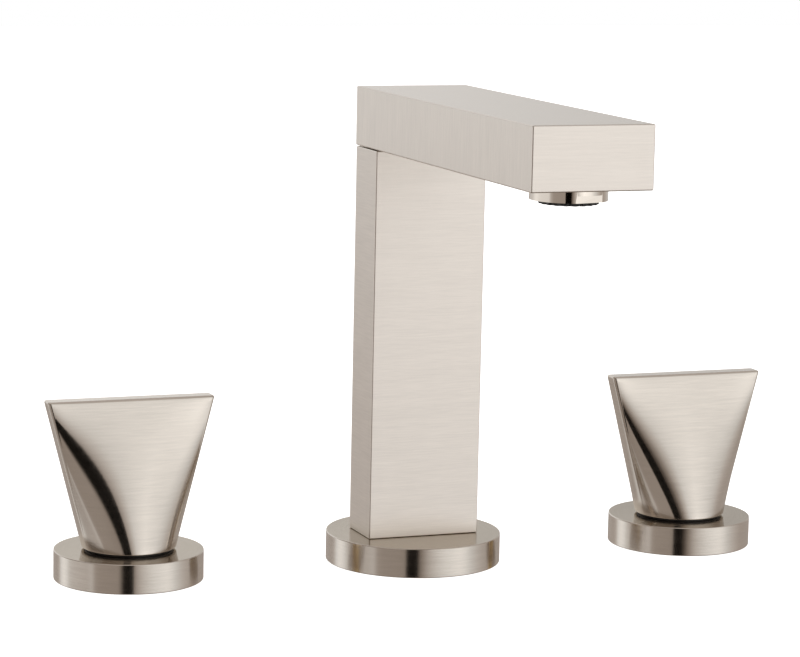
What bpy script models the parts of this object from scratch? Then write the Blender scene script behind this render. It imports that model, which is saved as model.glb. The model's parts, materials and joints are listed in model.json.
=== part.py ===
# Widespread bathroom faucet: a square bar spout and two blade knobs on round bases.
# Metres, +Z up. The origin is the centre of the spout's deck hole, on top of the deck.
# The spout reaches towards -Y, and the two handles stand at -X and +X.

import math

import bmesh
import bpy
from mathutils import Matrix, Vector

# Clearances
GAP = 0.0003                    # between pieces that touch on the real object
OVERRUN = 0.001                 # how far a cutter passes a face that it cuts through
SEAM = 0.0002                   # how far the column stands in from the arm's faces

# Round pieces, in segments
SHOWN_SEGMENTS = 44
HIDDEN_SEGMENTS = 18
BORE_SEGMENTS = 12
CORNER_SEGMENTS = 2
TUBE_BEVEL_RESOLUTION = 3
SMOOTH_ANGLE = 35.0             # degrees; sharper edges than this stay sharp in the shading
BEVEL_ANGLE = 30.0              # degrees; sharper edges than this are rounded
MERGE_DISTANCE = 0.000001       # points this close are one

# Deck and layout
HANDLE_CENTRES = 0.2032         # 8 inches, hole to hole across the spout
DECK_THICKNESS = 0.020          # the deck that the locknuts are drawn up against

# Spout arm
ARM_WIDTH = 0.040
ARM_HEIGHT = 0.020
ARM_NOSE = 0.0175               # from the stream to the arm's front face
ARM_WALL = 0.002
ARM_BEVEL = 0.0005
SPIGOT_MARGIN = 0.003           # from the column's faces in to its spigot

# Spout column
COLUMN_HEIGHT = 0.132
COLUMN_DEPTH = 0.020
COLUMN_BEVEL = 0.0004
COLUMN_PLUG = 0.0174            # solid foot that the shank's neck screws into
COLUMN_FOOT_WALL = 0.0025       # left in the foot in front of the neck and behind it
SPIGOT_WALL = 0.0012
SPIGOT_HEIGHT = 0.0032
PLUG_ROOF = 0.003               # left above the neck's socket

# Round base plates
SPOUT_PLATE_RADIUS = 0.030
HANDLE_PLATE_RADIUS = 0.025
PLATE_THICKNESS = 0.010
PLATE_CHAMFER = 0.0004
PLATE_RIM = 0.003               # flat rim on the deck, outside the gasket
GASKET_LAND = 0.002             # flat land on the deck, inside the gasket
GASKET_THICKNESS = 0.0017

# Waterway tube, from the shank up the column and along the arm
TUBE_RADIUS = 0.004
TUBE_WALL = 0.0008
TUBE_BEND_STEPS = 6
TUBE_SEAT = 0.010               # how deep the tube stands in the shank

# Aerator
AERATOR_REACH = 0.1225          # from the column's centre to the stream
AERATOR_RING_RADIUS = 0.012
AERATOR_RING_HEIGHT = 0.0038
AERATOR_RING_STEP = 0.0005      # how far the ring stands out past the thread
AERATOR_THREAD_LENGTH = 0.0054
AERATOR_WALL = 0.0017
AERATOR_FLAT_DEPTH = 0.0009     # how far the two spanner flats are cut into the ring
AERATOR_FLAT_HEIGHT = 0.0022
AERATOR_CHAMFER = 0.0003
INSERT_DROP = 0.0012            # how far the insert stands out below the ring
INSERT_HEIGHT = 0.008
INSERT_TEETH = 20
INSERT_TOOTH_DEPTH = 0.0006
INSERT_RIM_WIDTH = 0.0024       # of the toothed rim
TOOTH_SHARES = ((0.0, 0), (0.2, 1), (0.5, 1), (0.7, 0))     # along one tooth's pitch, and up its depth
SCREEN_THICKNESS = 0.001
AERATOR_SEAL_THICKNESS = 0.0019
SOCKET_ROOF = 0.0012
SOCKET_LEDGE = 0.0028           # the ledge over the aerator's seal

# Threaded shank that holds the spout down
SHANK_RADIUS = 0.008
SHANK_DROP = 0.062              # below the deck's top
SHANK_SEAL_THICKNESS = 0.0018
SPOUT_WASHER_RADIUS = 0.020
SPOUT_NUT_FLATS = 0.030
THREAD_CHAMFER = 0.0008

# Tee that joins the two hoses to the shank
TEE_RADIUS = 0.012
TEE_GRIP = 0.016                # length of shank inside the tee
TEE_FLOOR = 0.006
TEE_REACH = 0.027               # from the shank's axis to a port's end face
TEE_PASSAGE_RADIUS = 0.006
HOSE_THREAD_RADIUS = 0.0083     # three-eighths parallel pipe thread
HOSE_BORE_RADIUS = 0.004

# Fasteners under the deck
RUBBER_WASHER_THICKNESS = 0.002
STEEL_WASHER_THICKNESS = 0.0015
LOCKNUT_HEIGHT = 0.009
LOCKNUT_CHAMFER = 0.001

# Knob: round where it stands, drawn out to a thin straight blade at the top
KNOB_FOOT_RADIUS = 0.0158
KNOB_HEIGHT = 0.050
KNOB_LIFT = 0.0009              # shadow gap between the base plate and the knob
BLADE_LENGTH = 0.0574
BLADE_THICKNESS = 0.0065
BLADE_CORNER = 0.0012
KNOB_BEVEL = 0.0004
KNOB_BEVEL_STEPS = 1
KNOB_BEVEL_ANGLE = 60.0         # degrees; only the rims of the foot and the top are rounded
BLADE_END_ANGLE = 12.0          # degrees of the foot's circle, each side of X, that run up to a blade end
BLADE_CORNER_ANGLE = 4.0        # and the degrees that run up to a blade corner
BLADE_GATHER_SHARE = 0.6        # how much the lines up the front gather towards the blade's ends
FRONT_STEPS = 8
CORNER_STEPS = 3
END_STEPS = 1
LOFT_STEPS = 4
KNOB_SKIRT = 0.0008             # thin wall of the foot round the glide ring
RING_LEDGE_WIDTH = 0.0024
RING_LEDGE_DEPTH = 0.0012
RING_THICKNESS = 0.0015
RING_WIDTH = 0.0018
HOLLOW_DEPTH = 0.0046
ADAPTER_RADIUS = 0.006
ADAPTER_LENGTH = 0.0192
SET_SCREW_RADIUS = 0.002
SET_SCREW_SINK = 0.001          # its head below the knob's surface
SET_SCREW_HEIGHT = 0.014        # above the knob's foot
SET_SCREW_SOCKET = 0.0011       # radius of the hexagon
SET_SCREW_SOCKET_DEPTH = 0.002

# Quarter-turn valve: a body through the deck, a cartridge with two ceramic discs in it
VALVE_RADIUS = 0.0135
VALVE_SINK = 0.001              # its top below the base plate's top
VALVE_WALL = 0.0025
SEAT_DEPTH = 0.0383             # below the deck's top, where the riser ends under its seal
RISER_WALL = 0.002
OUTLET_DROP = 0.0117            # from the riser's end down to the outlet's axis
OUTLET_RISE = 0.006             # from the chamber's floor up to the outlet's axis
OUTLET_REACH = 0.0295           # from the valve's axis to the outlet's end face
CHEST_STEP = 0.002              # how far the chest stands out past the thread
CHEST_RISE = 0.010              # from the outlet's axis up to the chest's shoulder
CHEST_FLOOR = 0.008
INLET_THREAD_RADIUS = 0.0105    # half-inch parallel pipe thread
INLET_THREAD_LENGTH = 0.016
NUT_POCKET_DEPTH = 0.011        # from the valve's top down to the cartridge's flange

CHAMBER_CLEARANCE = 0.002       # water space round the cartridge
CARTRIDGE_SKIRT = 0.0017        # that reaches down past the riser's end
CARTRIDGE_FLANGE = 0.002
CARTRIDGE_WALL = 0.0012
CARTRIDGE_WINDOW = 0.006
STEM_RADIUS = 0.0043
STEM_FOOT_MARGIN = 0.0015       # from the disc's edge in to the stem's foot
STEM_FOOT_THICKNESS = 0.003
TONGUE_WIDTH = 0.0024
TONGUE_DEPTH = 0.0011
O_RING_SEGMENTS = 6             # round the rubber's own section
O_RING_GROOVE_DEPTH = 0.0013
O_RING_GROOVE_HEIGHT = 0.0026
O_RING_DEPTH = 0.010            # below the top of the cartridge
DISC_THICKNESS = 0.003
DISC_PORT_RADIUS = 0.0019
DISC_PORT_OFFSET = 0.0032
SEAT_SEAL_MARGIN = 0.0002       # from the disc's edge in to the seal
SEAT_SEAL_WIDTH = 0.0018
SEAT_SEAL_THICKNESS = 0.003

SPLINE_TEETH = 12
SPLINE_DEPTH = 0.0005
SPLINE_RADIUS = 0.0040
SPLINE_LEAD = 0.0004            # the spline starts this far below the adapter
SPLINE_RECESS = 0.0008          # the stem ends this far below the adapter's top

BONNET_CLEARANCE = 0.0016       # between the nut's corners and the knob's hollow
BONNET_HEAD = 0.004
BONNET_CHAMFER = 0.0006

HANDLE_WASHER_RADIUS = 0.022
HANDLE_NUT_FLATS = 0.036

# Radii worked out from the sizes above
AERATOR_THREAD_RADIUS = AERATOR_RING_RADIUS - AERATOR_RING_STEP
SOCKET_BORE_RADIUS = AERATOR_THREAD_RADIUS + GAP
SOCKET_THROAT_RADIUS = SOCKET_BORE_RADIUS - SOCKET_LEDGE
SHANK_NECK_RADIUS = COLUMN_DEPTH / 2 - SEAM - COLUMN_FOOT_WALL - GAP
SHANK_BORE_RADIUS = TUBE_RADIUS - TUBE_WALL
RING_LEDGE_RADIUS = KNOB_FOOT_RADIUS - KNOB_SKIRT
HOLLOW_RADIUS = RING_LEDGE_RADIUS - RING_LEDGE_WIDTH
BONNET_CORNER_RADIUS = HOLLOW_RADIUS - BONNET_CLEARANCE
CHAMBER_RADIUS = VALVE_RADIUS - VALVE_WALL
CHEST_RADIUS = VALVE_RADIUS + CHEST_STEP
CARTRIDGE_RADIUS = CHAMBER_RADIUS - CHAMBER_CLEARANCE
DISC_RADIUS = CARTRIDGE_RADIUS - CARTRIDGE_WALL - GAP
STEM_FOOT_RADIUS = DISC_RADIUS - STEM_FOOT_MARGIN
SEAT_SEAL_RADIUS = DISC_RADIUS - SEAT_SEAL_MARGIN
SEAT_SEAL_BORE = SEAT_SEAL_RADIUS - SEAT_SEAL_WIDTH
RISER_RADIUS = DISC_RADIUS - GAP
INLET_BORE_RADIUS = RISER_RADIUS - RISER_WALL

# Heights worked out from the sizes above, all from the deck's top
COLUMN_BASE = PLATE_THICKNESS + GAP
COLUMN_TOP = COLUMN_BASE + COLUMN_HEIGHT
ARM_BASE = COLUMN_TOP + GAP
ARM_TOP = ARM_BASE + ARM_HEIGHT
ARM_BACK = COLUMN_DEPTH / 2
ARM_FRONT = -AERATOR_REACH - ARM_NOSE
ARM_FLOOR = ARM_BASE + ARM_WALL
ARM_CEILING = ARM_TOP - ARM_WALL
SOCKET_CEILING = ARM_CEILING - GAP - SOCKET_ROOF
TUBE_HEIGHT = SOCKET_CEILING - GAP - TUBE_RADIUS
SPIGOT_TOP = COLUMN_TOP + SPIGOT_HEIGHT
SHANK_TOP = COLUMN_BASE + COLUMN_PLUG - PLUG_ROOF - GAP - SHANK_SEAL_THICKNESS - GAP
TUBE_START = SHANK_TOP - TUBE_SEAT
AERATOR_BASE = ARM_BASE - GAP - AERATOR_RING_HEIGHT
AERATOR_THREAD_TOP = ARM_BASE + AERATOR_THREAD_LENGTH
INSERT_BASE = AERATOR_BASE - INSERT_DROP
SHANK_END = -SHANK_DROP
TEE_TOP = SHANK_END + TEE_GRIP
TEE_PORT_HEIGHT = SHANK_END - HOSE_BORE_RADIUS
TEE_PASSAGE_END = TEE_PORT_HEIGHT - TEE_PASSAGE_RADIUS
TEE_BOTTOM = TEE_PASSAGE_END - TEE_FLOOR
INSERT_RADIUS = AERATOR_THREAD_RADIUS - AERATOR_WALL - GAP

KNOB_BASE = PLATE_THICKNESS + KNOB_LIFT
HOLLOW_TOP = KNOB_BASE + HOLLOW_DEPTH
ADAPTER_BASE = HOLLOW_TOP + GAP
ADAPTER_TOP = ADAPTER_BASE + ADAPTER_LENGTH
VALVE_TOP = PLATE_THICKNESS - VALVE_SINK
RISER_TOP = -SEAT_DEPTH
OUTLET_HEIGHT = RISER_TOP - OUTLET_DROP
CHAMBER_BOTTOM = OUTLET_HEIGHT - OUTLET_RISE
CHEST_TOP = OUTLET_HEIGHT + CHEST_RISE
CHEST_BOTTOM = CHAMBER_BOTTOM - CHEST_FLOOR
INLET_BOTTOM = CHEST_BOTTOM - INLET_THREAD_LENGTH
CARTRIDGE_BOTTOM = RISER_TOP - CARTRIDGE_SKIRT
FIXED_DISC_BASE = RISER_TOP + GAP + SEAT_SEAL_THICKNESS + GAP
TURNING_DISC_BASE = FIXED_DISC_BASE + DISC_THICKNESS + GAP
STEM_FOOT_BASE = TURNING_DISC_BASE + DISC_THICKNESS + GAP
CARTRIDGE_CHAMBER_TOP = STEM_FOOT_BASE + STEM_FOOT_THICKNESS + GAP
FLANGE_SEAT = VALVE_TOP - NUT_POCKET_DEPTH
FLANGE_TOP = FLANGE_SEAT + GAP + CARTRIDGE_FLANGE
SPLINE_TOP = ADAPTER_TOP - SPLINE_RECESS
SPLINE_BASE = ADAPTER_BASE - SPLINE_LEAD

# Finish of each kind of piece: colour, roughness, metallic
BRUSHED_NICKEL = ((0.60, 0.55, 0.49), 0.32, 1.0)
POLISHED_NICKEL = ((0.72, 0.67, 0.61), 0.12, 1.0)
BLACK_PLASTIC = ((0.02, 0.02, 0.02), 0.45, 0.0)
BLACK_RUBBER = ((0.03, 0.03, 0.03), 0.8, 0.0)
WHITE_NYLON = ((0.80, 0.79, 0.75), 0.5, 0.0)
BRASS = ((0.71, 0.53, 0.27), 0.35, 1.0)
COPPER = ((0.72, 0.40, 0.26), 0.35, 1.0)
STEEL = ((0.56, 0.56, 0.55), 0.3, 1.0)
CERAMIC = ((0.86, 0.86, 0.83), 0.25, 0.0)


def clear_scene():
    for obj in list(bpy.data.objects):
        bpy.data.objects.remove(obj, do_unlink=True)


def new_collection(name):
    collection = bpy.data.collections.new(name)
    bpy.context.scene.collection.children.link(collection)
    return collection


clear_scene()
parts = new_collection("widespread_faucet")
cutters = new_collection("cutters")


def add_object(name, data, collection=parts):
    obj = bpy.data.objects.new(name, data)
    collection.objects.link(obj)
    return obj


def place(obj, parent):
    obj.parent = parent
    return obj


def finish(obj, look):
    """Give the object a material of its own and smooth shading across its round faces."""
    colour, roughness, metallic = look
    made = bpy.data.materials.new(obj.name)
    made.use_nodes = True
    shader = made.node_tree.nodes["Principled BSDF"]
    shader.inputs["Base Color"].default_value = (*colour, 1.0)
    shader.inputs["Roughness"].default_value = roughness
    shader.inputs["Metallic"].default_value = metallic
    obj.data.materials.append(made)
    if obj.type == "MESH":
        obj.data.shade_smooth()
        obj.data.set_sharp_from_angle(angle=math.radians(SMOOTH_ANGLE))
    return obj


def mesh_object(name, bm, collection=parts):
    mesh = bpy.data.meshes.new(name)
    bm.to_mesh(mesh)
    bm.free()
    return add_object(name, mesh, collection)


def block(name, low, high, collection=parts):
    """A box between two corners."""
    low, high = Vector(low), Vector(high)
    bm = bmesh.new()
    bmesh.ops.create_cube(bm, size=1.0)
    bmesh.ops.scale(bm, vec=high - low, verts=bm.verts)
    bmesh.ops.translate(bm, vec=(low + high) / 2, verts=bm.verts)
    return mesh_object(name, bm, collection)


def rod(name, radius, start, end, segments=BORE_SEGMENTS, collection=cutters):
    """A cylinder, or with 6 segments a hexagonal bar, from one point to another."""
    start, end = Vector(start), Vector(end)
    along = end - start
    bm = bmesh.new()
    bmesh.ops.create_cone(
        bm, cap_ends=True, segments=segments, radius1=radius, radius2=radius, depth=along.length
    )
    turn = Vector((0, 0, 1)).rotation_difference(along).to_matrix().to_4x4()
    bmesh.ops.transform(bm, matrix=Matrix.Translation((start + end) / 2) @ turn, verts=bm.verts)
    return mesh_object(name, bm, collection)


def evaluated_mesh(obj):
    bpy.context.view_layer.update()
    graph = bpy.context.evaluated_depsgraph_get()
    return bpy.data.meshes.new_from_object(obj.evaluated_get(graph))


def turned(name, profile, segments=HIDDEN_SEGMENTS, collection=parts):
    """Turn a profile of (radius, height) about Z. It runs down the outside, then up the bore or the axis."""
    bm = bmesh.new()
    verts = [bm.verts.new((radius, 0, height)) for radius, height in profile]
    for first, second in zip(verts, verts[1:]):
        bm.edges.new((first, second))
    if profile[-1][0] > 0:
        bm.edges.new((verts[-1], verts[0]))
    obj = mesh_object(name, bm, collection)
    screw = obj.modifiers.new("turn", "SCREW")
    screw.axis = "Z"
    screw.steps = segments
    screw.render_steps = segments
    screw.use_merge_vertices = True
    screw.merge_threshold = MERGE_DISTANCE
    obj.data = evaluated_mesh(obj)
    obj.modifiers.clear()
    return obj


def ring(name, outer, inner, base, thickness, segments=HIDDEN_SEGMENTS):
    """A flat washer or disc with a hole."""
    top = base + thickness
    return turned(name, [(outer, top), (outer, base), (inner, base), (inner, top)], segments)


def torus(name, middle_radius, section_radius, height, segments=HIDDEN_SEGMENTS):
    profile = []
    for step in range(O_RING_SEGMENTS):
        angle = -2 * math.pi * step / O_RING_SEGMENTS
        profile.append((
            middle_radius + section_radius * math.cos(angle),
            height + section_radius * math.sin(angle),
        ))
    return turned(name, profile, segments)


def boolean(obj, cutter, operation="DIFFERENCE"):
    modifier = obj.modifiers.new(cutter.name, "BOOLEAN")
    modifier.operation = operation
    modifier.object = cutter
    modifier.solver = "EXACT"
    cutter.hide_render = True
    cutter.display_type = "WIRE"
    cutter.parent = obj
    return modifier


def bevel(obj, width, segments=CORNER_SEGMENTS, angle=BEVEL_ANGLE):
    modifier = obj.modifiers.new("edges", "BEVEL")
    modifier.width = width
    modifier.segments = segments
    modifier.limit_method = "ANGLE"
    modifier.angle_limit = math.radians(angle)
    return modifier


def curve_object(name, outlines, closed):
    """A poly curve object from one or more lists of points."""
    curve = bpy.data.curves.new(name, "CURVE")
    for points in outlines:
        spline = curve.splines.new("POLY")
        spline.points.add(len(points) - 1)
        for point, at in zip(spline.points, points):
            point.co = (*at, 1.0)
        spline.use_cyclic_u = closed
    return add_object(name, curve)


def as_mesh(curve_obj, collection=parts):
    """Replace a curve object by a mesh of it whose caps are joined to its sides."""
    name, where = curve_obj.name, curve_obj.matrix_world.copy()
    bm = bmesh.new()
    bm.from_mesh(evaluated_mesh(curve_obj))
    bmesh.ops.remove_doubles(bm, verts=bm.verts, dist=MERGE_DISTANCE)
    bmesh.ops.recalc_face_normals(bm, faces=bm.faces)
    bpy.data.objects.remove(curve_obj, do_unlink=True)
    obj = mesh_object(name, bm, collection)
    obj.matrix_world = where
    return obj


def star(teeth, outer, inner):
    """Points of a toothed outline whose teeth and gaps are equally wide."""
    points = []
    for tooth in range(teeth):
        for along_share, height_share in TOOTH_SHARES:
            angle = 2 * math.pi * (tooth + along_share) / teeth
            radius = inner + (outer - inner) * height_share
            points.append((radius * math.cos(angle), radius * math.sin(angle), 0))
    return points


def circle(radius, segments=HIDDEN_SEGMENTS):
    angles = [2 * math.pi * step / segments for step in range(segments)]
    return [(radius * math.cos(angle), radius * math.sin(angle), 0) for angle in angles]


def extruded(name, outlines, base, top, collection=parts):
    """A flat outline, with its holes, given a thickness from base to top."""
    obj = curve_object(name, outlines, True)
    obj.data.dimensions = "2D"
    obj.data.fill_mode = "BOTH"
    obj.data.extrude = (top - base) / 2
    made = as_mesh(obj, collection)
    made.data.transform(Matrix.Translation((0, 0, (top + base) / 2)))
    return made


def hex_nut(name, flats, bore, base, height, chamfer):
    """A nut: a chamfered turned blank trimmed by a hexagonal bar."""
    top = base + height
    corner = flats / 2 / math.cos(math.pi / 6)
    blank = [
        (corner - chamfer, top),
        (corner + OVERRUN, top - chamfer),
        (corner + OVERRUN, base + chamfer),
        (corner - chamfer, base),
        (bore, base),
        (bore, top),
    ]
    nut = turned(name, blank)
    bar = rod(name + "_hexagon", corner, (0, 0, base - OVERRUN), (0, 0, top + OVERRUN), 6)
    boolean(nut, bar, "INTERSECT")
    return nut


# Spout

def make_arm():
    """Hollow bar. Its floor is open over the column's spigot and round the aerator."""
    arm = block(
        "spout_arm",
        (-ARM_WIDTH / 2, ARM_FRONT, ARM_BASE),
        (ARM_WIDTH / 2, ARM_BACK, ARM_TOP),
    )
    bevel(arm, ARM_BEVEL)
    inside = block(
        "arm_inside",
        (-ARM_WIDTH / 2 + ARM_WALL, ARM_FRONT + ARM_WALL, ARM_FLOOR),
        (ARM_WIDTH / 2 - ARM_WALL, ARM_BACK - ARM_WALL, ARM_CEILING),
        cutters,
    )
    boolean(arm, inside)
    half_width, half_depth = spigot_half_size()
    over_column = block(
        "arm_column_opening",
        (-half_width - GAP, -half_depth - GAP, ARM_BASE - OVERRUN),
        (half_width + GAP, half_depth + GAP, ARM_FLOOR + OVERRUN),
        cutters,
    )
    boolean(arm, over_column)
    hole = rod(
        "arm_aerator_hole",
        SOCKET_BORE_RADIUS,
        (0, -AERATOR_REACH, ARM_BASE - OVERRUN),
        (0, -AERATOR_REACH, ARM_FLOOR + OVERRUN),
        SHOWN_SEGMENTS,
    )
    boolean(arm, hole)
    return finish(arm, BRUSHED_NICKEL)


def spigot_half_size():
    return ARM_WIDTH / 2 - SPIGOT_MARGIN, COLUMN_DEPTH / 2 - SPIGOT_MARGIN


def make_column():
    """Hollow bar with a solid foot, a socket in it for the shank's neck, and a spigot into the arm."""
    half_width, half_depth = ARM_WIDTH / 2 - SEAM, COLUMN_DEPTH / 2 - SEAM
    column = block(
        "spout_column", (-half_width, -half_depth, COLUMN_BASE), (half_width, half_depth, COLUMN_TOP)
    )
    bevel(column, COLUMN_BEVEL)
    spigot_width, spigot_depth = spigot_half_size()
    spigot = block(
        "column_spigot",
        (-spigot_width, -spigot_depth, COLUMN_TOP - OVERRUN),
        (spigot_width, spigot_depth, SPIGOT_TOP),
        cutters,
    )
    boolean(column, spigot, "UNION")
    plug_top = COLUMN_BASE + COLUMN_PLUG
    inside = block(
        "column_inside",
        (-spigot_width + SPIGOT_WALL, -spigot_depth + SPIGOT_WALL, plug_top),
        (spigot_width - SPIGOT_WALL, spigot_depth - SPIGOT_WALL, SPIGOT_TOP + OVERRUN),
        cutters,
    )
    boolean(column, inside)
    socket = rod(
        "column_neck_socket",
        SHANK_NECK_RADIUS + GAP,
        (0, 0, COLUMN_BASE - OVERRUN),
        (0, 0, plug_top - PLUG_ROOF),
        HIDDEN_SEGMENTS,
    )
    boolean(column, socket)
    tube_hole = rod(
        "column_tube_hole",
        TUBE_RADIUS + GAP,
        (0, 0, plug_top - PLUG_ROOF - OVERRUN),
        (0, 0, plug_top + OVERRUN),
    )
    boolean(column, tube_hole)
    return finish(column, BRUSHED_NICKEL)


def tube_route(extra=0.0):
    """Straight up through the column's spigot, round the bend and forward into the aerator socket."""
    bend = TUBE_HEIGHT - SPIGOT_TOP
    points = [(0, 0, TUBE_START - extra)]
    for step in range(TUBE_BEND_STEPS + 1):
        angle = math.pi / 2 * step / TUBE_BEND_STEPS
        points.append((0, bend * math.cos(angle) - bend, SPIGOT_TOP + bend * math.sin(angle)))
    points.append((0, -AERATOR_REACH + SOCKET_BORE_RADIUS - extra, TUBE_HEIGHT))
    return points


def swept(name, radius, points, collection):
    obj = curve_object(name, [points], False)
    obj.data.dimensions = "3D"
    obj.data.bevel_depth = radius
    obj.data.bevel_resolution = TUBE_BEVEL_RESOLUTION
    obj.data.use_fill_caps = True
    return as_mesh(obj, collection)


def make_waterway_tube():
    tube = swept("waterway_tube", TUBE_RADIUS, tube_route(), parts)
    bore = swept("tube_bore", TUBE_RADIUS - TUBE_WALL, tube_route(OVERRUN), cutters)
    boolean(tube, bore)
    return finish(tube, COPPER)


def make_aerator_socket():
    """Block brazed inside the arm: threaded from below, with the waterway entering from behind."""
    half_width = ARM_WIDTH / 2 - ARM_WALL - GAP
    half_length = ARM_NOSE - ARM_WALL - GAP
    socket = block(
        "aerator_socket",
        (-half_width, -AERATOR_REACH - half_length, ARM_FLOOR + GAP),
        (half_width, -AERATOR_REACH + half_length, ARM_CEILING - GAP),
    )
    shoulder = AERATOR_THREAD_TOP + GAP + AERATOR_SEAL_THICKNESS + GAP
    bore = turned(
        "socket_bore",
        [
            (0, SOCKET_CEILING),
            (SOCKET_THROAT_RADIUS, SOCKET_CEILING),
            (SOCKET_THROAT_RADIUS, shoulder),
            (SOCKET_BORE_RADIUS, shoulder),
            (SOCKET_BORE_RADIUS, ARM_FLOOR - OVERRUN),
            (0, ARM_FLOOR - OVERRUN),
        ],
        HIDDEN_SEGMENTS,
        cutters,
    )
    bore.location.y = -AERATOR_REACH
    boolean(socket, bore)
    port = rod(
        "socket_port",
        TUBE_RADIUS + GAP,
        (0, -AERATOR_REACH, TUBE_HEIGHT),
        (0, -AERATOR_REACH + half_length + OVERRUN, TUBE_HEIGHT),
    )
    boolean(socket, port)
    return finish(socket, BRASS)


def at_aerator(obj):
    obj.location.y = -AERATOR_REACH
    return obj


def make_aerator():
    bore = AERATOR_THREAD_RADIUS - AERATOR_WALL
    housing = turned(
        "aerator_housing",
        [
            (AERATOR_THREAD_RADIUS, AERATOR_THREAD_TOP),
            (AERATOR_THREAD_RADIUS, ARM_BASE - GAP),
            (AERATOR_RING_RADIUS, ARM_BASE - GAP),
            (AERATOR_RING_RADIUS, AERATOR_BASE + AERATOR_CHAMFER),
            (AERATOR_RING_RADIUS - AERATOR_CHAMFER, AERATOR_BASE),
            (bore, AERATOR_BASE),
            (bore, AERATOR_THREAD_TOP),
        ],
        SHOWN_SEGMENTS,
    )
    at_aerator(housing)
    for side in (-1, 1):
        flat = block(
            "aerator_flat",
            (-AERATOR_RING_RADIUS, AERATOR_RING_RADIUS - AERATOR_FLAT_DEPTH, AERATOR_BASE - OVERRUN),
            (AERATOR_RING_RADIUS, AERATOR_RING_RADIUS + OVERRUN, AERATOR_BASE + AERATOR_FLAT_HEIGHT),
            cutters,
        )
        boolean(housing, flat)
        flat.rotation_euler.z = 0 if side > 0 else math.pi
    finish(housing, POLISHED_NICKEL)

    insert_top = INSERT_BASE + INSERT_HEIGHT
    insert = turned(
        "aerator_insert",
        [(0, insert_top), (INSERT_RADIUS, insert_top), (INSERT_RADIUS, AERATOR_BASE), (0, AERATOR_BASE)],
        SHOWN_SEGMENTS,
    )
    teeth = extruded(
        "insert_teeth",
        [
            star(INSERT_TEETH, INSERT_RADIUS - GAP, INSERT_RADIUS - INSERT_TOOTH_DEPTH - GAP),
            circle(INSERT_RADIUS - INSERT_RIM_WIDTH),
        ],
        INSERT_BASE,
        AERATOR_BASE + OVERRUN,
        cutters,
    )
    boolean(insert, teeth, "UNION")
    finish(at_aerator(insert), BLACK_PLASTIC)

    screen_base = insert_top + GAP
    screen = turned(
        "aerator_screen",
        [
            (0, screen_base + SCREEN_THICKNESS),
            (INSERT_RADIUS, screen_base + SCREEN_THICKNESS),
            (INSERT_RADIUS, screen_base),
            (0, screen_base),
        ],
    )
    finish(at_aerator(screen), STEEL)
    seal = ring(
        "aerator_seal",
        AERATOR_THREAD_RADIUS - GAP,
        SOCKET_THROAT_RADIUS - GAP,
        AERATOR_THREAD_TOP + GAP,
        AERATOR_SEAL_THICKNESS,
    )
    finish(at_aerator(seal), BLACK_RUBBER)


def make_base_plate(name, radius, bore, parent=None):
    """Round base plate with a groove underneath for its gasket, and the gasket."""
    groove_outer = radius - PLATE_RIM
    groove_inner = bore + GASKET_LAND
    plate = turned(
        name,
        [
            (radius - PLATE_CHAMFER, PLATE_THICKNESS),
            (radius, PLATE_THICKNESS - PLATE_CHAMFER),
            (radius, PLATE_CHAMFER),
            (radius - PLATE_CHAMFER, 0),
            (groove_outer, 0),
            (groove_outer, GASKET_THICKNESS + GAP),
            (groove_inner, GASKET_THICKNESS + GAP),
            (groove_inner, 0),
            (bore, 0),
            (bore, PLATE_THICKNESS),
        ],
        SHOWN_SEGMENTS,
    )
    place(finish(plate, BRUSHED_NICKEL), parent)
    gasket = ring(
        name.replace("base_plate", "deck_gasket"), groove_outer - GAP, groove_inner + GAP, 0, GASKET_THICKNESS
    )
    place(finish(gasket, BLACK_RUBBER), parent)


def make_deck_fasteners(prefix, shaft, washer_radius, nut_flats, parent=None):
    """Rubber washer, steel washer and locknut, drawn up under the deck."""
    bore = shaft + GAP
    rubber_base = -DECK_THICKNESS - RUBBER_WASHER_THICKNESS
    steel_base = rubber_base - GAP - STEEL_WASHER_THICKNESS
    nut_base = steel_base - GAP - LOCKNUT_HEIGHT
    rubber = ring(prefix + "_rubber_washer", washer_radius, bore, rubber_base, RUBBER_WASHER_THICKNESS)
    place(finish(rubber, BLACK_RUBBER), parent)
    steel = ring(prefix + "_steel_washer", washer_radius, bore, steel_base, STEEL_WASHER_THICKNESS)
    place(finish(steel, STEEL), parent)
    nut = hex_nut(prefix + "_locknut", nut_flats, bore, nut_base, LOCKNUT_HEIGHT, LOCKNUT_CHAMFER)
    place(finish(nut, BRASS), parent)


def make_shank():
    """Hollow threaded stud: its neck is screwed into the column's foot, the tube stands in its bore."""
    ledge = TUBE_START - GAP
    shank = turned(
        "spout_shank",
        [
            (SHANK_NECK_RADIUS, SHANK_TOP),
            (SHANK_NECK_RADIUS, PLATE_THICKNESS),
            (SHANK_RADIUS, PLATE_THICKNESS),
            (SHANK_RADIUS, SHANK_END + THREAD_CHAMFER),
            (SHANK_RADIUS - THREAD_CHAMFER, SHANK_END),
            (SHANK_BORE_RADIUS, SHANK_END),
            (SHANK_BORE_RADIUS, ledge),
            (TUBE_RADIUS + GAP, ledge),
            (TUBE_RADIUS + GAP, SHANK_TOP),
        ],
    )
    finish(shank, BRASS)
    seal = ring(
        "shank_seal", SHANK_NECK_RADIUS - GAP, TUBE_RADIUS + GAP, SHANK_TOP + GAP, SHANK_SEAL_THICKNESS
    )
    finish(seal, BLACK_RUBBER)


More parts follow.
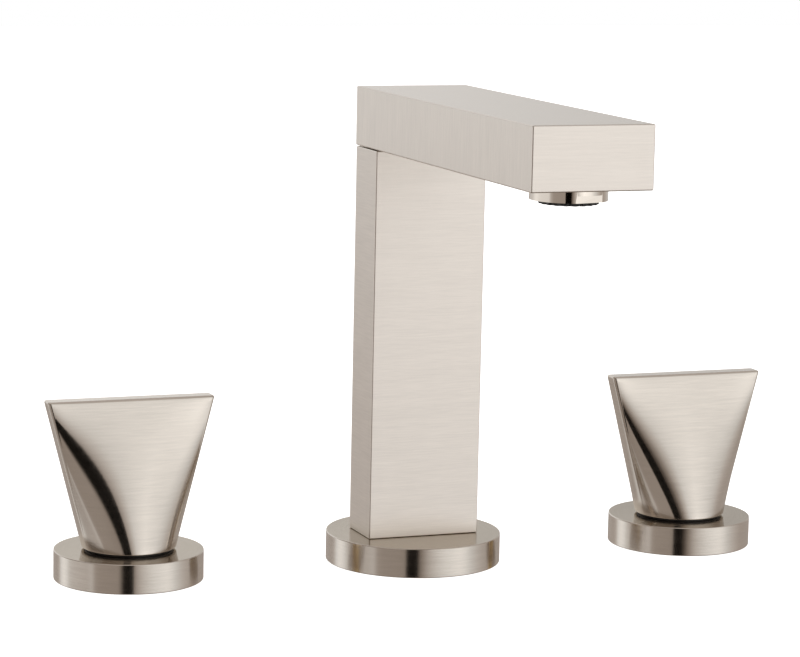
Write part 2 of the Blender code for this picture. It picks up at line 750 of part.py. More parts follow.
def make_hose_tee():
    """Tee on the shank's lower end, with a threaded port towards each valve."""
    tee = turned(
        "hose_tee",
        [
            (0, TEE_TOP),
            (TEE_RADIUS - THREAD_CHAMFER, TEE_TOP),
            (TEE_RADIUS, TEE_TOP - THREAD_CHAMFER),
            (TEE_RADIUS, TEE_BOTTOM + THREAD_CHAMFER),
            (TEE_RADIUS - THREAD_CHAMFER, TEE_BOTTOM),
            (0, TEE_BOTTOM),
        ],
    )
    ports = rod(
        "tee_ports",
        HOSE_THREAD_RADIUS,
        (-TEE_REACH, 0, TEE_PORT_HEIGHT),
        (TEE_REACH, 0, TEE_PORT_HEIGHT),
        HIDDEN_SEGMENTS,
    )
    boolean(tee, ports, "UNION")
    seat = SHANK_END - GAP
    well = turned(
        "tee_well",
        [
            (0, TEE_TOP + OVERRUN),
            (SHANK_RADIUS + GAP, TEE_TOP + OVERRUN),
            (SHANK_RADIUS + GAP, seat),
            (TEE_PASSAGE_RADIUS, seat),
            (TEE_PASSAGE_RADIUS, TEE_PASSAGE_END),
            (0, TEE_PASSAGE_END),
        ],
        HIDDEN_SEGMENTS,
        cutters,
    )
    boolean(tee, well)
    bore = rod(
        "tee_port_bore",
        HOSE_BORE_RADIUS,
        (-TEE_REACH - OVERRUN, 0, TEE_PORT_HEIGHT),
        (TEE_REACH + OVERRUN, 0, TEE_PORT_HEIGHT),
    )
    boolean(tee, bore)
    finish(tee, BRASS)


# Handles

def knob_section(share):
    """Outline of the knob at a share of its height: the foot's circle at 0, the blade's end at 1."""
    half_length, half_thickness = BLADE_LENGTH / 2, BLADE_THICKNESS / 2
    corner_start = 90.0 - BLADE_END_ANGLE - BLADE_CORNER_ANGLE
    corner_end = 90.0 - BLADE_END_ANGLE
    quarter = []
    for step in range(FRONT_STEPS):
        along = step / FRONT_STEPS
        gathered = along + (math.sin(math.pi / 2 * along) - along) * BLADE_GATHER_SHARE
        quarter.append((corner_start * along, (half_length - BLADE_CORNER) * gathered, half_thickness))
    for step in range(CORNER_STEPS + 1):
        along = step / CORNER_STEPS
        turn = math.pi / 2 * along
        quarter.append((
            corner_start + (corner_end - corner_start) * along,
            half_length - BLADE_CORNER + BLADE_CORNER * math.sin(turn),
            half_thickness - BLADE_CORNER + BLADE_CORNER * math.cos(turn),
        ))
    for step in range(1, END_STEPS + 1):
        along = step / END_STEPS
        quarter.append((
            corner_end + (90.0 - corner_end) * along,
            half_length,
            (half_thickness - BLADE_CORNER) * (1 - along),
        ))
    points = []
    for angle, blade_x, blade_y in quarter:
        foot_x = KNOB_FOOT_RADIUS * math.sin(math.radians(angle))
        foot_y = KNOB_FOOT_RADIUS * math.cos(math.radians(angle))
        points.append((foot_x + (blade_x - foot_x) * share, foot_y + (blade_y - foot_y) * share))
    half = points + [(x, -y) for x, y in reversed(points[:-1])]
    return half + [(-x, y) for x, y in reversed(half[1:-1])]


def make_knob(name, parent):
    """A straight-ruled loft from the round foot to the blade, hollow underneath."""
    bm = bmesh.new()
    rows = []
    for step in range(LOFT_STEPS + 1):
        share = step / LOFT_STEPS
        height = KNOB_BASE + KNOB_HEIGHT * share
        rows.append([bm.verts.new((x, y, height)) for x, y in knob_section(share)])
    count = len(rows[0])
    for lower, upper in zip(rows, rows[1:]):
        for index in range(count):
            after = (index + 1) % count
            bm.faces.new((lower[after], lower[index], upper[index], upper[after]))
    bm.faces.new(rows[0])
    bm.faces.new(list(reversed(rows[-1])))
    bmesh.ops.recalc_face_normals(bm, faces=bm.faces)
    knob = mesh_object(name, bm)
    bevel(knob, KNOB_BEVEL, KNOB_BEVEL_STEPS, KNOB_BEVEL_ANGLE)
    ledge = KNOB_BASE + RING_LEDGE_DEPTH
    hollow = turned(
        name + "_hollow",
        [
            (0, ADAPTER_TOP + GAP),
            (ADAPTER_RADIUS + GAP, ADAPTER_TOP + GAP),
            (ADAPTER_RADIUS + GAP, HOLLOW_TOP),
            (HOLLOW_RADIUS, HOLLOW_TOP),
            (HOLLOW_RADIUS, ledge),
            (RING_LEDGE_RADIUS, ledge),
            (RING_LEDGE_RADIUS, KNOB_BASE - OVERRUN),
            (0, KNOB_BASE - OVERRUN),
        ],
        HIDDEN_SEGMENTS,
        cutters,
    )
    boolean(knob, hollow)
    screw_height = KNOB_BASE + SET_SCREW_HEIGHT
    screw_hole = rod(
        name + "_screw_hole",
        SET_SCREW_RADIUS + GAP,
        (0, 0, screw_height),
        (0, KNOB_FOOT_RADIUS, screw_height),
    )
    boolean(knob, screw_hole)
    place(finish(knob, BRUSHED_NICKEL), parent)


def make_set_screw(name, parent):
    """Grub screw through the back of the knob, against the spline adapter."""
    height = KNOB_BASE + SET_SCREW_HEIGHT
    up_share = SET_SCREW_HEIGHT / KNOB_HEIGHT
    knob_surface = KNOB_FOOT_RADIUS + (BLADE_THICKNESS / 2 - KNOB_FOOT_RADIUS) * up_share
    tip = ADAPTER_RADIUS + GAP
    head = knob_surface - SET_SCREW_SINK
    screw = rod(name, SET_SCREW_RADIUS, (0, tip, height), (0, head, height), BORE_SEGMENTS, parts)
    socket = rod(
        name + "_socket",
        SET_SCREW_SOCKET,
        (0, head - SET_SCREW_SOCKET_DEPTH, height),
        (0, head + OVERRUN, height),
        6,
    )
    boolean(screw, socket)
    place(finish(screw, STEEL), parent)


def make_glide_ring(name, parent):
    """Dark ring in the knob's underside that slides on the base plate."""
    outer = RING_LEDGE_RADIUS - GAP
    base = PLATE_THICKNESS + GAP
    glide = ring(name, outer, outer - RING_WIDTH, base, RING_THICKNESS)
    place(finish(glide, BLACK_PLASTIC), parent)


def make_adapter(name, parent):
    """Insert in the knob with the spline that grips the stem."""
    spline = star(SPLINE_TEETH, SPLINE_RADIUS + GAP, SPLINE_RADIUS - SPLINE_DEPTH + GAP)
    adapter = extruded(name, [circle(ADAPTER_RADIUS), spline], ADAPTER_BASE, ADAPTER_TOP)
    place(finish(adapter, WHITE_NYLON), parent)


def make_stem(name, parent):
    """Splined spindle that turns the upper ceramic disc through a tongue, with a groove for its O-ring."""
    groove_top = FLANGE_TOP - O_RING_DEPTH
    groove_base = groove_top - O_RING_GROOVE_HEIGHT
    stem = turned(
        name,
        [
            (0, SPLINE_BASE),
            (STEM_RADIUS, SPLINE_BASE),
            (STEM_RADIUS, groove_top),
            (STEM_RADIUS - O_RING_GROOVE_DEPTH, groove_top),
            (STEM_RADIUS - O_RING_GROOVE_DEPTH, groove_base),
            (STEM_RADIUS, groove_base),
            (STEM_RADIUS, STEM_FOOT_BASE + STEM_FOOT_THICKNESS),
            (STEM_FOOT_RADIUS, STEM_FOOT_BASE + STEM_FOOT_THICKNESS),
            (STEM_FOOT_RADIUS, STEM_FOOT_BASE),
            (0, STEM_FOOT_BASE),
        ],
    )
    head = extruded(
        name + "_spline",
        [star(SPLINE_TEETH, SPLINE_RADIUS, SPLINE_RADIUS - SPLINE_DEPTH)],
        SPLINE_BASE - OVERRUN,
        SPLINE_TOP,
        cutters,
    )
    boolean(stem, head, "UNION")
    tongue = block(
        name + "_tongue",
        (-STEM_FOOT_RADIUS + OVERRUN, -TONGUE_WIDTH / 2, STEM_FOOT_BASE - GAP - TONGUE_DEPTH),
        (STEM_FOOT_RADIUS - OVERRUN, TONGUE_WIDTH / 2, STEM_FOOT_BASE + OVERRUN),
        cutters,
    )
    boolean(stem, tongue, "UNION")
    place(finish(stem, BRASS), parent)


def make_stem_o_ring(name, parent):
    groove_middle = FLANGE_TOP - O_RING_DEPTH - O_RING_GROOVE_HEIGHT / 2
    inner = STEM_RADIUS - O_RING_GROOVE_DEPTH
    outer = STEM_RADIUS + GAP
    section = (outer - inner) / 2 - GAP
    o_ring = torus(name, (outer + inner) / 2, section, groove_middle)
    place(finish(o_ring, BLACK_RUBBER), parent)


def make_disc(name, base, ports_along_x, parent, slot=False):
    """Ceramic disc with two round ports. The turning one has a slot for the stem's tongue."""
    disc = turned(
        name, [(0, base + DISC_THICKNESS), (DISC_RADIUS, base + DISC_THICKNESS), (DISC_RADIUS, base), (0, base)]
    )
    for side in (-1, 1):
        x = side * DISC_PORT_OFFSET if ports_along_x else 0
        y = 0 if ports_along_x else side * DISC_PORT_OFFSET
        port = rod(
            name + "_port",
            DISC_PORT_RADIUS,
            (x, y, base - OVERRUN),
            (x, y, base + DISC_THICKNESS + OVERRUN),
        )
        boolean(disc, port)
    if slot:
        top = base + DISC_THICKNESS
        groove = block(
            name + "_slot",
            (-DISC_RADIUS - OVERRUN, -TONGUE_WIDTH / 2 - GAP, top - TONGUE_DEPTH - GAP),
            (DISC_RADIUS + OVERRUN, TONGUE_WIDTH / 2 + GAP, top + OVERRUN),
            cutters,
        )
        boolean(disc, groove)
    place(finish(disc, CERAMIC), parent)


def make_cartridge_body(name, parent):
    """Sleeve that holds the stem and the discs, with two windows where the water leaves."""
    chamber = CARTRIDGE_RADIUS - CARTRIDGE_WALL
    bore = STEM_RADIUS + GAP
    flange = CHAMBER_RADIUS
    body = turned(
        name,
        [
            (flange, FLANGE_TOP),
            (flange, FLANGE_SEAT + GAP),
            (CARTRIDGE_RADIUS, FLANGE_SEAT + GAP),
            (CARTRIDGE_RADIUS, CARTRIDGE_BOTTOM),
            (chamber, CARTRIDGE_BOTTOM),
            (chamber, CARTRIDGE_CHAMBER_TOP),
            (bore, CARTRIDGE_CHAMBER_TOP),
            (bore, FLANGE_TOP),
        ],
    )
    window = block(
        name + "_windows",
        (-CARTRIDGE_WINDOW / 2, -CARTRIDGE_RADIUS - OVERRUN, STEM_FOOT_BASE),
        (CARTRIDGE_WINDOW / 2, CARTRIDGE_RADIUS + OVERRUN, CARTRIDGE_CHAMBER_TOP - GAP),
        cutters,
    )
    boolean(body, window)
    place(finish(body, BRASS), parent)


def make_bonnet_nut(name, parent):
    """Nut in the valve's mouth that holds the cartridge down, with its hexagon inside the knob."""
    thread_base = FLANGE_TOP + GAP
    shoulder = VALVE_TOP + GAP
    top = shoulder + BONNET_HEAD
    half_flats = BONNET_CORNER_RADIUS * math.cos(math.pi / 6)
    bore = STEM_RADIUS + GAP
    nut = turned(
        name,
        [
            (BONNET_CORNER_RADIUS - BONNET_CHAMFER, top),
            (BONNET_CORNER_RADIUS, top - BONNET_CHAMFER),
            (BONNET_CORNER_RADIUS, shoulder),
            (CHAMBER_RADIUS, shoulder),
            (CHAMBER_RADIUS, thread_base),
            (bore, thread_base),
            (bore, top),
        ],
    )
    for side in range(6):
        angle = math.pi / 3 * side
        flat = block(
            name + "_flat",
            (-BONNET_CORNER_RADIUS, half_flats, shoulder),
            (BONNET_CORNER_RADIUS, BONNET_CORNER_RADIUS + OVERRUN, top + OVERRUN),
            cutters,
        )
        boolean(nut, flat)
        flat.rotation_euler.z = angle
    place(finish(nut, BRASS), parent)


def make_valve_body(name, side, parent):
    """Threaded body through the deck: inlet riser from below, outlet chamber round it, spout port inwards."""
    body = turned(
        name,
        [
            (VALVE_RADIUS - THREAD_CHAMFER, VALVE_TOP),
            (VALVE_RADIUS, VALVE_TOP - THREAD_CHAMFER),
            (VALVE_RADIUS, CHEST_TOP),
            (CHEST_RADIUS, CHEST_TOP),
            (CHEST_RADIUS, CHEST_BOTTOM),
            (INLET_THREAD_RADIUS, CHEST_BOTTOM),
            (INLET_THREAD_RADIUS, INLET_BOTTOM + THREAD_CHAMFER),
            (INLET_THREAD_RADIUS - THREAD_CHAMFER, INLET_BOTTOM),
            (INLET_BORE_RADIUS, INLET_BOTTOM),
            (INLET_BORE_RADIUS, RISER_TOP),
            (RISER_RADIUS, RISER_TOP),
            (RISER_RADIUS, CHAMBER_BOTTOM),
            (CHAMBER_RADIUS, CHAMBER_BOTTOM),
            (CHAMBER_RADIUS, CARTRIDGE_CHAMBER_TOP),
            (CARTRIDGE_RADIUS + GAP, CARTRIDGE_CHAMBER_TOP),
            (CARTRIDGE_RADIUS + GAP, FLANGE_SEAT),
            (CHAMBER_RADIUS + GAP, FLANGE_SEAT),
            (CHAMBER_RADIUS + GAP, VALVE_TOP),
        ],
    )
    middle_of_wall = (CHAMBER_RADIUS + CHEST_RADIUS) / 2
    spout_port = rod(
        name + "_port",
        HOSE_THREAD_RADIUS,
        (-side * middle_of_wall, 0, OUTLET_HEIGHT),
        (-side * OUTLET_REACH, 0, OUTLET_HEIGHT),
        HIDDEN_SEGMENTS,
    )
    boolean(body, spout_port, "UNION")
    bore = rod(
        name + "_port_bore",
        HOSE_BORE_RADIUS,
        (-side * (RISER_RADIUS + OVERRUN), 0, OUTLET_HEIGHT),
        (-side * (OUTLET_REACH + OVERRUN), 0, OUTLET_HEIGHT),
    )
    boolean(body, bore)
    place(finish(body, BRASS), parent)


def make_handle(name, side):
    """One valve and its knob, about an empty on the knob's axis."""
    axis = bpy.data.objects.new(name + "_axis", None)
    parts.objects.link(axis)
    axis.location.x = side * HANDLE_CENTRES / 2
    axis.empty_display_size = KNOB_HEIGHT

    make_base_plate(name + "_base_plate", HANDLE_PLATE_RADIUS, VALVE_RADIUS + GAP, axis)
    make_valve_body(name + "_valve_body", side, axis)
    make_cartridge_body(name + "_cartridge_body", axis)
    make_bonnet_nut(name + "_bonnet_nut", axis)
    make_disc(name + "_fixed_disc", FIXED_DISC_BASE, False, axis)
    seal = ring(
        name + "_seat_seal", SEAT_SEAL_RADIUS, SEAT_SEAL_BORE, RISER_TOP + GAP, SEAT_SEAL_THICKNESS
    )
    place(finish(seal, BLACK_RUBBER), axis)
    make_deck_fasteners(name, VALVE_RADIUS, HANDLE_WASHER_RADIUS, HANDLE_NUT_FLATS, axis)

    # These turn together on the axis
    make_knob(name + "_knob", axis)
    make_set_screw(name + "_set_screw", axis)
    make_glide_ring(name + "_glide_ring", axis)
    make_adapter(name + "_spline_adapter", axis)
    make_stem(name + "_valve_stem", axis)
    make_stem_o_ring(name + "_stem_o_ring", axis)
    make_disc(name + "_turning_disc", TURNING_DISC_BASE, True, axis, slot=True)


make_arm()
make_column()
make_waterway_tube()
make_aerator_socket()
make_aerator()
make_base_plate("spout_base_plate", SPOUT_PLATE_RADIUS, SHANK_RADIUS + GAP)
make_shank()
make_deck_fasteners("spout", SHANK_RADIUS, SPOUT_WASHER_RADIUS, SPOUT_NUT_FLATS)
make_hose_tee()
make_handle("left", -1)
make_handle("right", 1)
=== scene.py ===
import json
import math

import bmesh
import bpy
from mathutils import Euler, Matrix, Vector

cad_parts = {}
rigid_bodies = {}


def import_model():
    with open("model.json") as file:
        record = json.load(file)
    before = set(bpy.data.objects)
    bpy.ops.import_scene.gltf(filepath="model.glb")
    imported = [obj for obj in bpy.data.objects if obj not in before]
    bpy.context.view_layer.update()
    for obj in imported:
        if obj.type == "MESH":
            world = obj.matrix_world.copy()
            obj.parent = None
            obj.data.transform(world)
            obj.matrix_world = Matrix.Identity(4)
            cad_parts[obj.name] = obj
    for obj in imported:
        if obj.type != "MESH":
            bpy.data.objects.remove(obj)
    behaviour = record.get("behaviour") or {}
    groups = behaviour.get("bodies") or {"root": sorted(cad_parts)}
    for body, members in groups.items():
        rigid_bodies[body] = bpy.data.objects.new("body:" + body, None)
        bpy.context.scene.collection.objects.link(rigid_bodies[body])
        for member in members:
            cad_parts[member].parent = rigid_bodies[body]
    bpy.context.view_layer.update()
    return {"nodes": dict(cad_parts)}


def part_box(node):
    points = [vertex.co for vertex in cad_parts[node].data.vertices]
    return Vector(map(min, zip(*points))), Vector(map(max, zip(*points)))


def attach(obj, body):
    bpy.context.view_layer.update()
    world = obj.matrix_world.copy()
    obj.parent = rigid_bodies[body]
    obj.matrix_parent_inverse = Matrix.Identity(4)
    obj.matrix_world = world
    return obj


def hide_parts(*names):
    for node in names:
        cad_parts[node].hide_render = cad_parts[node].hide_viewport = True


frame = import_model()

bpy.ops.object.select_all(action="DESELECT")    # the CAD nodes come in selected
print("frame loaded,", len(frame["nodes"]), "nodes")

mm = 0.001
gap = 0.3 * mm          # running gap between neighbours, as in the CAD
over = 1 * mm           # how far a cutter reaches past what it cuts
flush = 0.01 * mm       # points this near a level lie on it
weld = 0.002 * mm       # points this close become one
sliver = 0.0005 * mm    # what is smaller is dropped
fine = 128              # sides of the turned pieces that show


# Modelling helpers

def boxOf(node):
    low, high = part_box(node)
    return Vector(low), Vector(high)


def named(name):
    piece = bpy.context.active_object
    piece.name = name
    piece.data.name = name
    bpy.ops.object.transform_apply(location=True, rotation=True, scale=True)
    return piece


def pick(piece):
    bpy.ops.object.select_all(action="DESELECT")
    piece.select_set(True)
    bpy.context.view_layer.objects.active = piece


def openEdit(piece, kind="VERT"):
    if bpy.context.mode != "OBJECT":
        bpy.ops.object.mode_set(mode="OBJECT")
    pick(piece)
    bpy.ops.object.mode_set(mode="EDIT")
    bpy.ops.mesh.select_mode(type=kind)


def closeEdit():
    bpy.ops.object.mode_set(mode="OBJECT")


def choose(piece, kind, test):
    # opens edit mode with only what passes the test selected
    openEdit(piece, kind)
    bpy.ops.mesh.select_all(action="DESELECT")
    mesh = bmesh.from_edit_mesh(piece.data)
    items = {"VERT": mesh.verts, "EDGE": mesh.edges, "FACE": mesh.faces}[kind]
    for item in items:
        item.select_set(bool(test(item)))
    mesh.select_flush_mode()
    bmesh.update_edit_mesh(piece.data)


def chooseAll():
    bpy.ops.mesh.select_all(action="SELECT")


def faceOutwards():
    chooseAll()
    bpy.ops.mesh.normals_make_consistent(inside=False)


def slide(value):
    bpy.ops.transform.translate(value=value)


def inset(width):
    bpy.ops.mesh.inset(thickness=width, use_even_offset=True)


def extrude(value):
    bpy.ops.mesh.extrude_region_move(TRANSFORM_OT_translate={"value": value})


def cube(name, low, high):
    low, high = Vector(low), Vector(high)
    bpy.ops.object.select_all(action="DESELECT")
    bpy.ops.mesh.primitive_cube_add(size=1, location=(low + high) / 2, scale=high - low)
    return named(name)


def rod(name, radius, start, end, sides=48):
    start, end = Vector(start), Vector(end)
    along = end - start
    bpy.ops.object.select_all(action="DESELECT")
    bpy.ops.mesh.primitive_cylinder_add(
        vertices=sides, radius=radius, depth=along.length, location=(start + end) / 2,
        rotation=along.to_track_quat("Z", "Y").to_euler(),
    )
    return named(name)


def chain(name, points):
    # one vertex, drawn out through the points
    bpy.ops.object.select_all(action="DESELECT")
    bpy.ops.mesh.primitive_plane_add(size=mm)
    piece = named(name)
    openEdit(piece)
    chooseAll()
    bpy.ops.mesh.merge(type="CENTER")
    before = Vector(points[0])
    slide(before)
    for point in points[1:]:
        point = Vector(point)
        bpy.ops.mesh.extrude_vertices_move(TRANSFORM_OT_translate={"value": point - before})
        before = point
    chooseAll()
    return piece


def turned(name, profile, steps=96, centre=(0, 0, 0)):
    # profile of (radius, height) from pole to pole, or once round a section with a bore
    points = [(radius, 0, height) for radius, height in profile]
    if profile[0][0] > 0:
        points.append(points[0])
    piece = chain(name, points)
    bpy.ops.mesh.spin(steps=steps, angle=2 * math.pi, center=(0, 0, 0), axis=(0, 0, 1))
    chooseAll()
    bpy.ops.mesh.remove_doubles(threshold=weld)
    faceOutwards()
    slide((centre[0], centre[1], 0))
    closeEdit()
    return piece


def drum(name, radius, low, high, edge):
    # upright round body with chamfered ends
    return turned(name, [
        (0, high), (radius - edge, high), (radius, high - edge),
        (radius, low + edge), (radius - edge, low), (0, low),
    ])


def modify(piece, kind, **settings):
    modifier = piece.modifiers.new(kind.title(), kind)
    for setting, value in settings.items():
        setattr(modifier, setting, value)
    pick(piece)
    bpy.ops.object.modifier_apply(modifier=modifier.name)


def roundOff(piece, width, segments=3, angle=35):
    modify(
        piece, "BEVEL", width=width, segments=segments, limit_method="ANGLE",
        angle_limit=math.radians(angle), miter_outer="MITER_ARC",
    )


def carve(piece, cutter, operation="DIFFERENCE"):
    modify(piece, "BOOLEAN", operation=operation, object=cutter, solver="EXACT")
    bpy.data.objects.remove(cutter, do_unlink=True)


def cutFlats(piece, radius, deep, low, high, turn=0.0, centre=(0, 0, 0)):
    # two spanner flats, at the front and the back of an upright round piece
    far = radius + over
    for side in (-1, 1):
        nearY, farY = sorted((side * (radius - deep), side * far))
        cutter = cube("flat", (-far, nearY, low), (far, farY, high))
        cutter.data.transform(Matrix.Translation(centre) @ Matrix.Rotation(math.radians(turn), 4, "Z"))
        carve(piece, cutter)


def smooth(piece, angle=32):
    # drops the slivers that cuts leave behind, then shades
    openEdit(piece)
    chooseAll()
    bpy.ops.mesh.dissolve_degenerate(threshold=sliver)
    closeEdit()
    pick(piece)
    bpy.ops.object.shade_smooth_by_angle(angle=math.radians(angle))
    modify(piece, "WEIGHTED_NORMAL", keep_sharp=True, weight=100)


def twin(piece, name, place, turn=0.0):
    pick(piece)
    bpy.ops.object.duplicate(linked=False)
    bpy.context.active_object.location = place
    bpy.context.active_object.rotation_euler.z = turn
    return named(name)


def dress(piece, body, node, materials, rule=None):
    # the rule gives the number of a face's material
    for material in materials:
        piece.data.materials.append(material)
    if rule:
        for face in piece.data.polygons:
            face.material_index = rule(face)
    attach(piece, body)
    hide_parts(node)
    return piece


# Threads

thread = {
    "depth": 0.6,               # all in pitches, up to the lead
    "rootEnd": 0.2,
    "crestStart": 0.5,
    "crestEnd": 0.7,
    "lead": 1.37,               # where the winding starts, below the lower end
    "spareTurns": 3,
    "chamfer": 0.8 * mm,
    "clear": 0.05 * mm,         # between the crest and the blank that trims the end
}


def threaded(name, radius, low, high, pitch, steps=48):
    # upright rod with a real thread: one pitch of the profile, wound up and trimmed at both ends
    start, root = low - thread["lead"] * pitch, radius - thread["depth"] * pitch
    profile = [
        (root, 0), (root, thread["rootEnd"]), (radius, thread["crestStart"]), (radius, thread["crestEnd"]),
        (root, 1),
    ]
    piece = chain(name, [(away, 0, start + up * pitch) for away, up in profile])
    closeEdit()
    turns = math.ceil((high - low) / pitch) + thread["spareTurns"]
    modify(
        piece, "SCREW", axis="Z", screw_offset=pitch, iterations=turns, steps=steps, render_steps=steps,
        use_merge_vertices=True, merge_threshold=weld,
    )
    openEdit(piece)
    chooseAll()
    bpy.ops.mesh.remove_doubles(threshold=weld)
    for height, way in ((high, 1), (low, -1)):
        chooseAll()
        bpy.ops.mesh.bisect(
            plane_co=(0, 0, height), plane_no=(0, 0, way), use_fill=True, clear_outer=True,
            threshold=sliver,
        )
    faceOutwards()
    closeEdit()
    return piece


def chamferThread(piece, radius, end, far, steps=96):
    # trims a thread to the span from its free end to the far one, with a chamfer at the free end
    outer = radius + thread["clear"]
    back = end - math.copysign(thread["chamfer"], end - far)
    blank = turned("threadBlank", [
        (0, end), (outer - thread["chamfer"], end), (outer, back), (outer, far), (0, far),
    ], steps)
    carve(piece, blank, "INTERSECT")


# Shader maths on sockets

class Socket:
    def __init__(self, tree, output=None):
        self.tree = tree
        self.output = output

    def add(self, kind, settings, inputs, output=0):
        node = self.tree.nodes.new("ShaderNode" + kind)
        for setting, value in settings.items():
            if setting == "stops":
                self.fillRamp(node.color_ramp, value)
            else:
                setattr(node, setting, value)
        for key, value in inputs.items():
            if isinstance(value, Socket):
                self.tree.links.new(value.output, node.inputs[key])
            else:
                node.inputs[key].default_value = value
        return Socket(self.tree, node.outputs[output])

    def fillRamp(self, ramp, stops):
        for place, colour in stops[2:]:
            ramp.elements.new(place)
        for element, (place, colour) in zip(ramp.elements, stops):
            element.position = place
            element.color = (*colour, 1)

    def math(self, operation, first, second=0.0):
        return self.add("Math", {"operation": operation}, {0: first, 1: second})

    def vector(self, operation, first, second=(0, 0, 0), output=0):
        return self.add("VectorMath", {"operation": operation}, {0: first, 1: second}, output)

    def tinted(self, colour, tone):
        return self.add("VectorMath", {"operation": "SCALE"}, {0: colour, "Scale": tone})

    def range(self, value, fromLow, fromHigh, toLow, toHigh):
        return self.add(
            "MapRange", {"clamp": True},
            {"Value": value, "From Min": fromLow, "From Max": fromHigh, "To Min": toLow, "To Max": toHigh},
        )

    def mix(self, share, first, second):
        return self.add("Mix", {"data_type": "RGBA"}, {0: share, 6: first, 7: second}, 2)

    def objectPlace(self):
        return self.add("TexCoord", {}, {}, "Object")

    def noise(self, where, scale, detail, roughness=0.5):
        looks = {"Vector": where, "Scale": scale, "Detail": detail, "Roughness": roughness}
        return self.add("TexNoise", {}, looks, "Fac")

    def __add__(self, other):
        return self.math("ADD", self, other)

    def __radd__(self, other):
        return self.math("ADD", other, self)

    def __sub__(self, other):
        return self.math("SUBTRACT", self, other)

    def __rsub__(self, other):
        return self.math("SUBTRACT", other, self)

    def __mul__(self, other):
        return self.math("MULTIPLY", self, other)

    def __rmul__(self, other):
        return self.math("MULTIPLY", other, self)


def link(source, target):
    source.tree.links.new(source.output, target)


def swing(noise, amount):
    # noise from 0 to 1 as a swing to both sides of nothing
    return (noise - 0.5) * (2 * amount)


def newMaterial(name, shader):
    # the surface node with its plain values, and a socket helper for the rest
    material = bpy.data.materials.new(name)
    material.use_nodes = True
    tree = material.node_tree
    surface = tree.nodes["Principled BSDF"]
    for key, value in shader.items():
        surface.inputs[key].default_value = value
    return material, Socket(tree), surface


def connect(surface, colour, roughness, height, depth):
    bump = colour.add("Bump", {}, {"Strength": 1.0, "Distance": depth, "Height": height})
    link(colour, surface.inputs["Base Color"])
    link(roughness, surface.inputs["Roughness"])
    link(bump, surface.inputs["Normal"])


# Brushed nickel

nickel = {
    "colour": (0.76, 0.70, 0.63),       # linear, one reflection
    "roughness": 0.165,
    "anisotropy": 1.0,
    "lineWidth": 0.45 * mm,             # of the brush lines
    "lineLength": 9 * mm,
    "colourSwing": 0.10,
    "roughnessSwing": 0.05,
    "lineDepth": 0.004 * mm,
    "streakSize": 3.5,                  # of the broad streaks, in brush lines
    "streakSwing": 0.035,
    "cloudSize": 9 * mm,                # slow changes of tone
    "cloudSwing": 0.02,
    "grazing": (1.0, 1.0, 1.0),         # tint of what is seen along the surface
}


def brushedNickel(name, place, turn, **change):
    # place makes the coordinate, in line lengths along the brush and line widths across it
    look = {**nickel, **change}
    material, shade, surface = newMaterial(name, {
        "Metallic": 1.0,
        "Anisotropic": look["anisotropy"],
        "Anisotropic Rotation": turn,
        "Specular Tint": (*look["grazing"], 1),
    })
    where = place(shade)
    lines = shade.noise(where, scale=1.0, detail=3.0, roughness=0.6)
    streaks = shade.noise(where, scale=1 / look["streakSize"], detail=1.0)
    clouds = shade.noise(shade.objectPlace(), scale=1 / look["cloudSize"], detail=1.0)
    tone = 1 + swing(lines, look["colourSwing"]) + swing(clouds, look["cloudSwing"])
    tone = tone + swing(streaks, look["streakSwing"])
    roughness = look["roughness"] + swing(lines, look["roughnessSwing"])
    connect(surface, shade.tinted(look["colour"], tone), roughness, lines, look["lineDepth"])
    return material


def straightPlace(fast):
    # brush lines along the axes that are not fast
    slow, quick = 1 / nickel["lineLength"], 1 / nickel["lineWidth"]
    scale = [quick if axis in fast else slow for axis in "xyz"]

    def place(shade):
        return shade.add("Mapping", {}, {"Vector": shade.objectPlace(), "Scale": scale})

    return place


def ringPlace(centre, radius):
    # brush lines round a centre: across them the coordinate is the radius and the height
    def place(shade):
        shift = (-centre[0], -centre[1], 0)
        centred = shade.add("Mapping", {}, {"Vector": shade.objectPlace(), "Location": shift})
        flat = shade.vector("MULTIPLY", centred, (1, 1, 0))
        length = shade.vector("LENGTH", flat, output="Value")
        heading = shade.vector("NORMALIZE", flat)
        around = shade.add("SeparateXYZ", {}, {"Vector": heading}, "X")
        aroundToo = shade.add("SeparateXYZ", {}, {"Vector": heading}, "Y")
        height = shade.add("SeparateXYZ", {}, {"Vector": centred}, "Z")
        turns = radius / nickel["lineLength"]
        return shade.add("CombineXYZ", {}, {
            "X": around * turns,
            "Y": aroundToo * turns,
            "Z": (length + height) * (1 / nickel["lineWidth"]),
        })

    return place


# the bars' flat faces have a softer, slightly lighter brushing than the knobs' blades
bars = {"colour": (0.84, 0.778, 0.712), "roughness": 0.31, "anisotropy": 0.6}
tops = {"roughness": 0.25, "anisotropy": 0.0, "lineDepth": 0.001 * mm, "grazing": (0.85, 0.84, 0.83)}
levelTurn, uprightTurn = 0.25, 0.0      # of the stretched highlight, for level and for upright lines
levelLines = brushedNickel("nickelLevelLines", straightPlace("z"), levelTurn, **bars)
uprightLines = brushedNickel("nickelUprightLines", straightPlace("xy"), uprightTurn, **bars)
bladeLines = brushedNickel("nickelBladeLines", straightPlace("z"), levelTurn)
topLines = brushedNickel("nickelTopLines", straightPlace("x"), uprightTurn, **tops)


# Plain stock: rubber, plastic, ceramic, cast or turned metal

grainLook = {"detail": 4.0, "broadSize": 12, "broadDetail": 2.0, "roughShare": 0.5}     # broad in grains


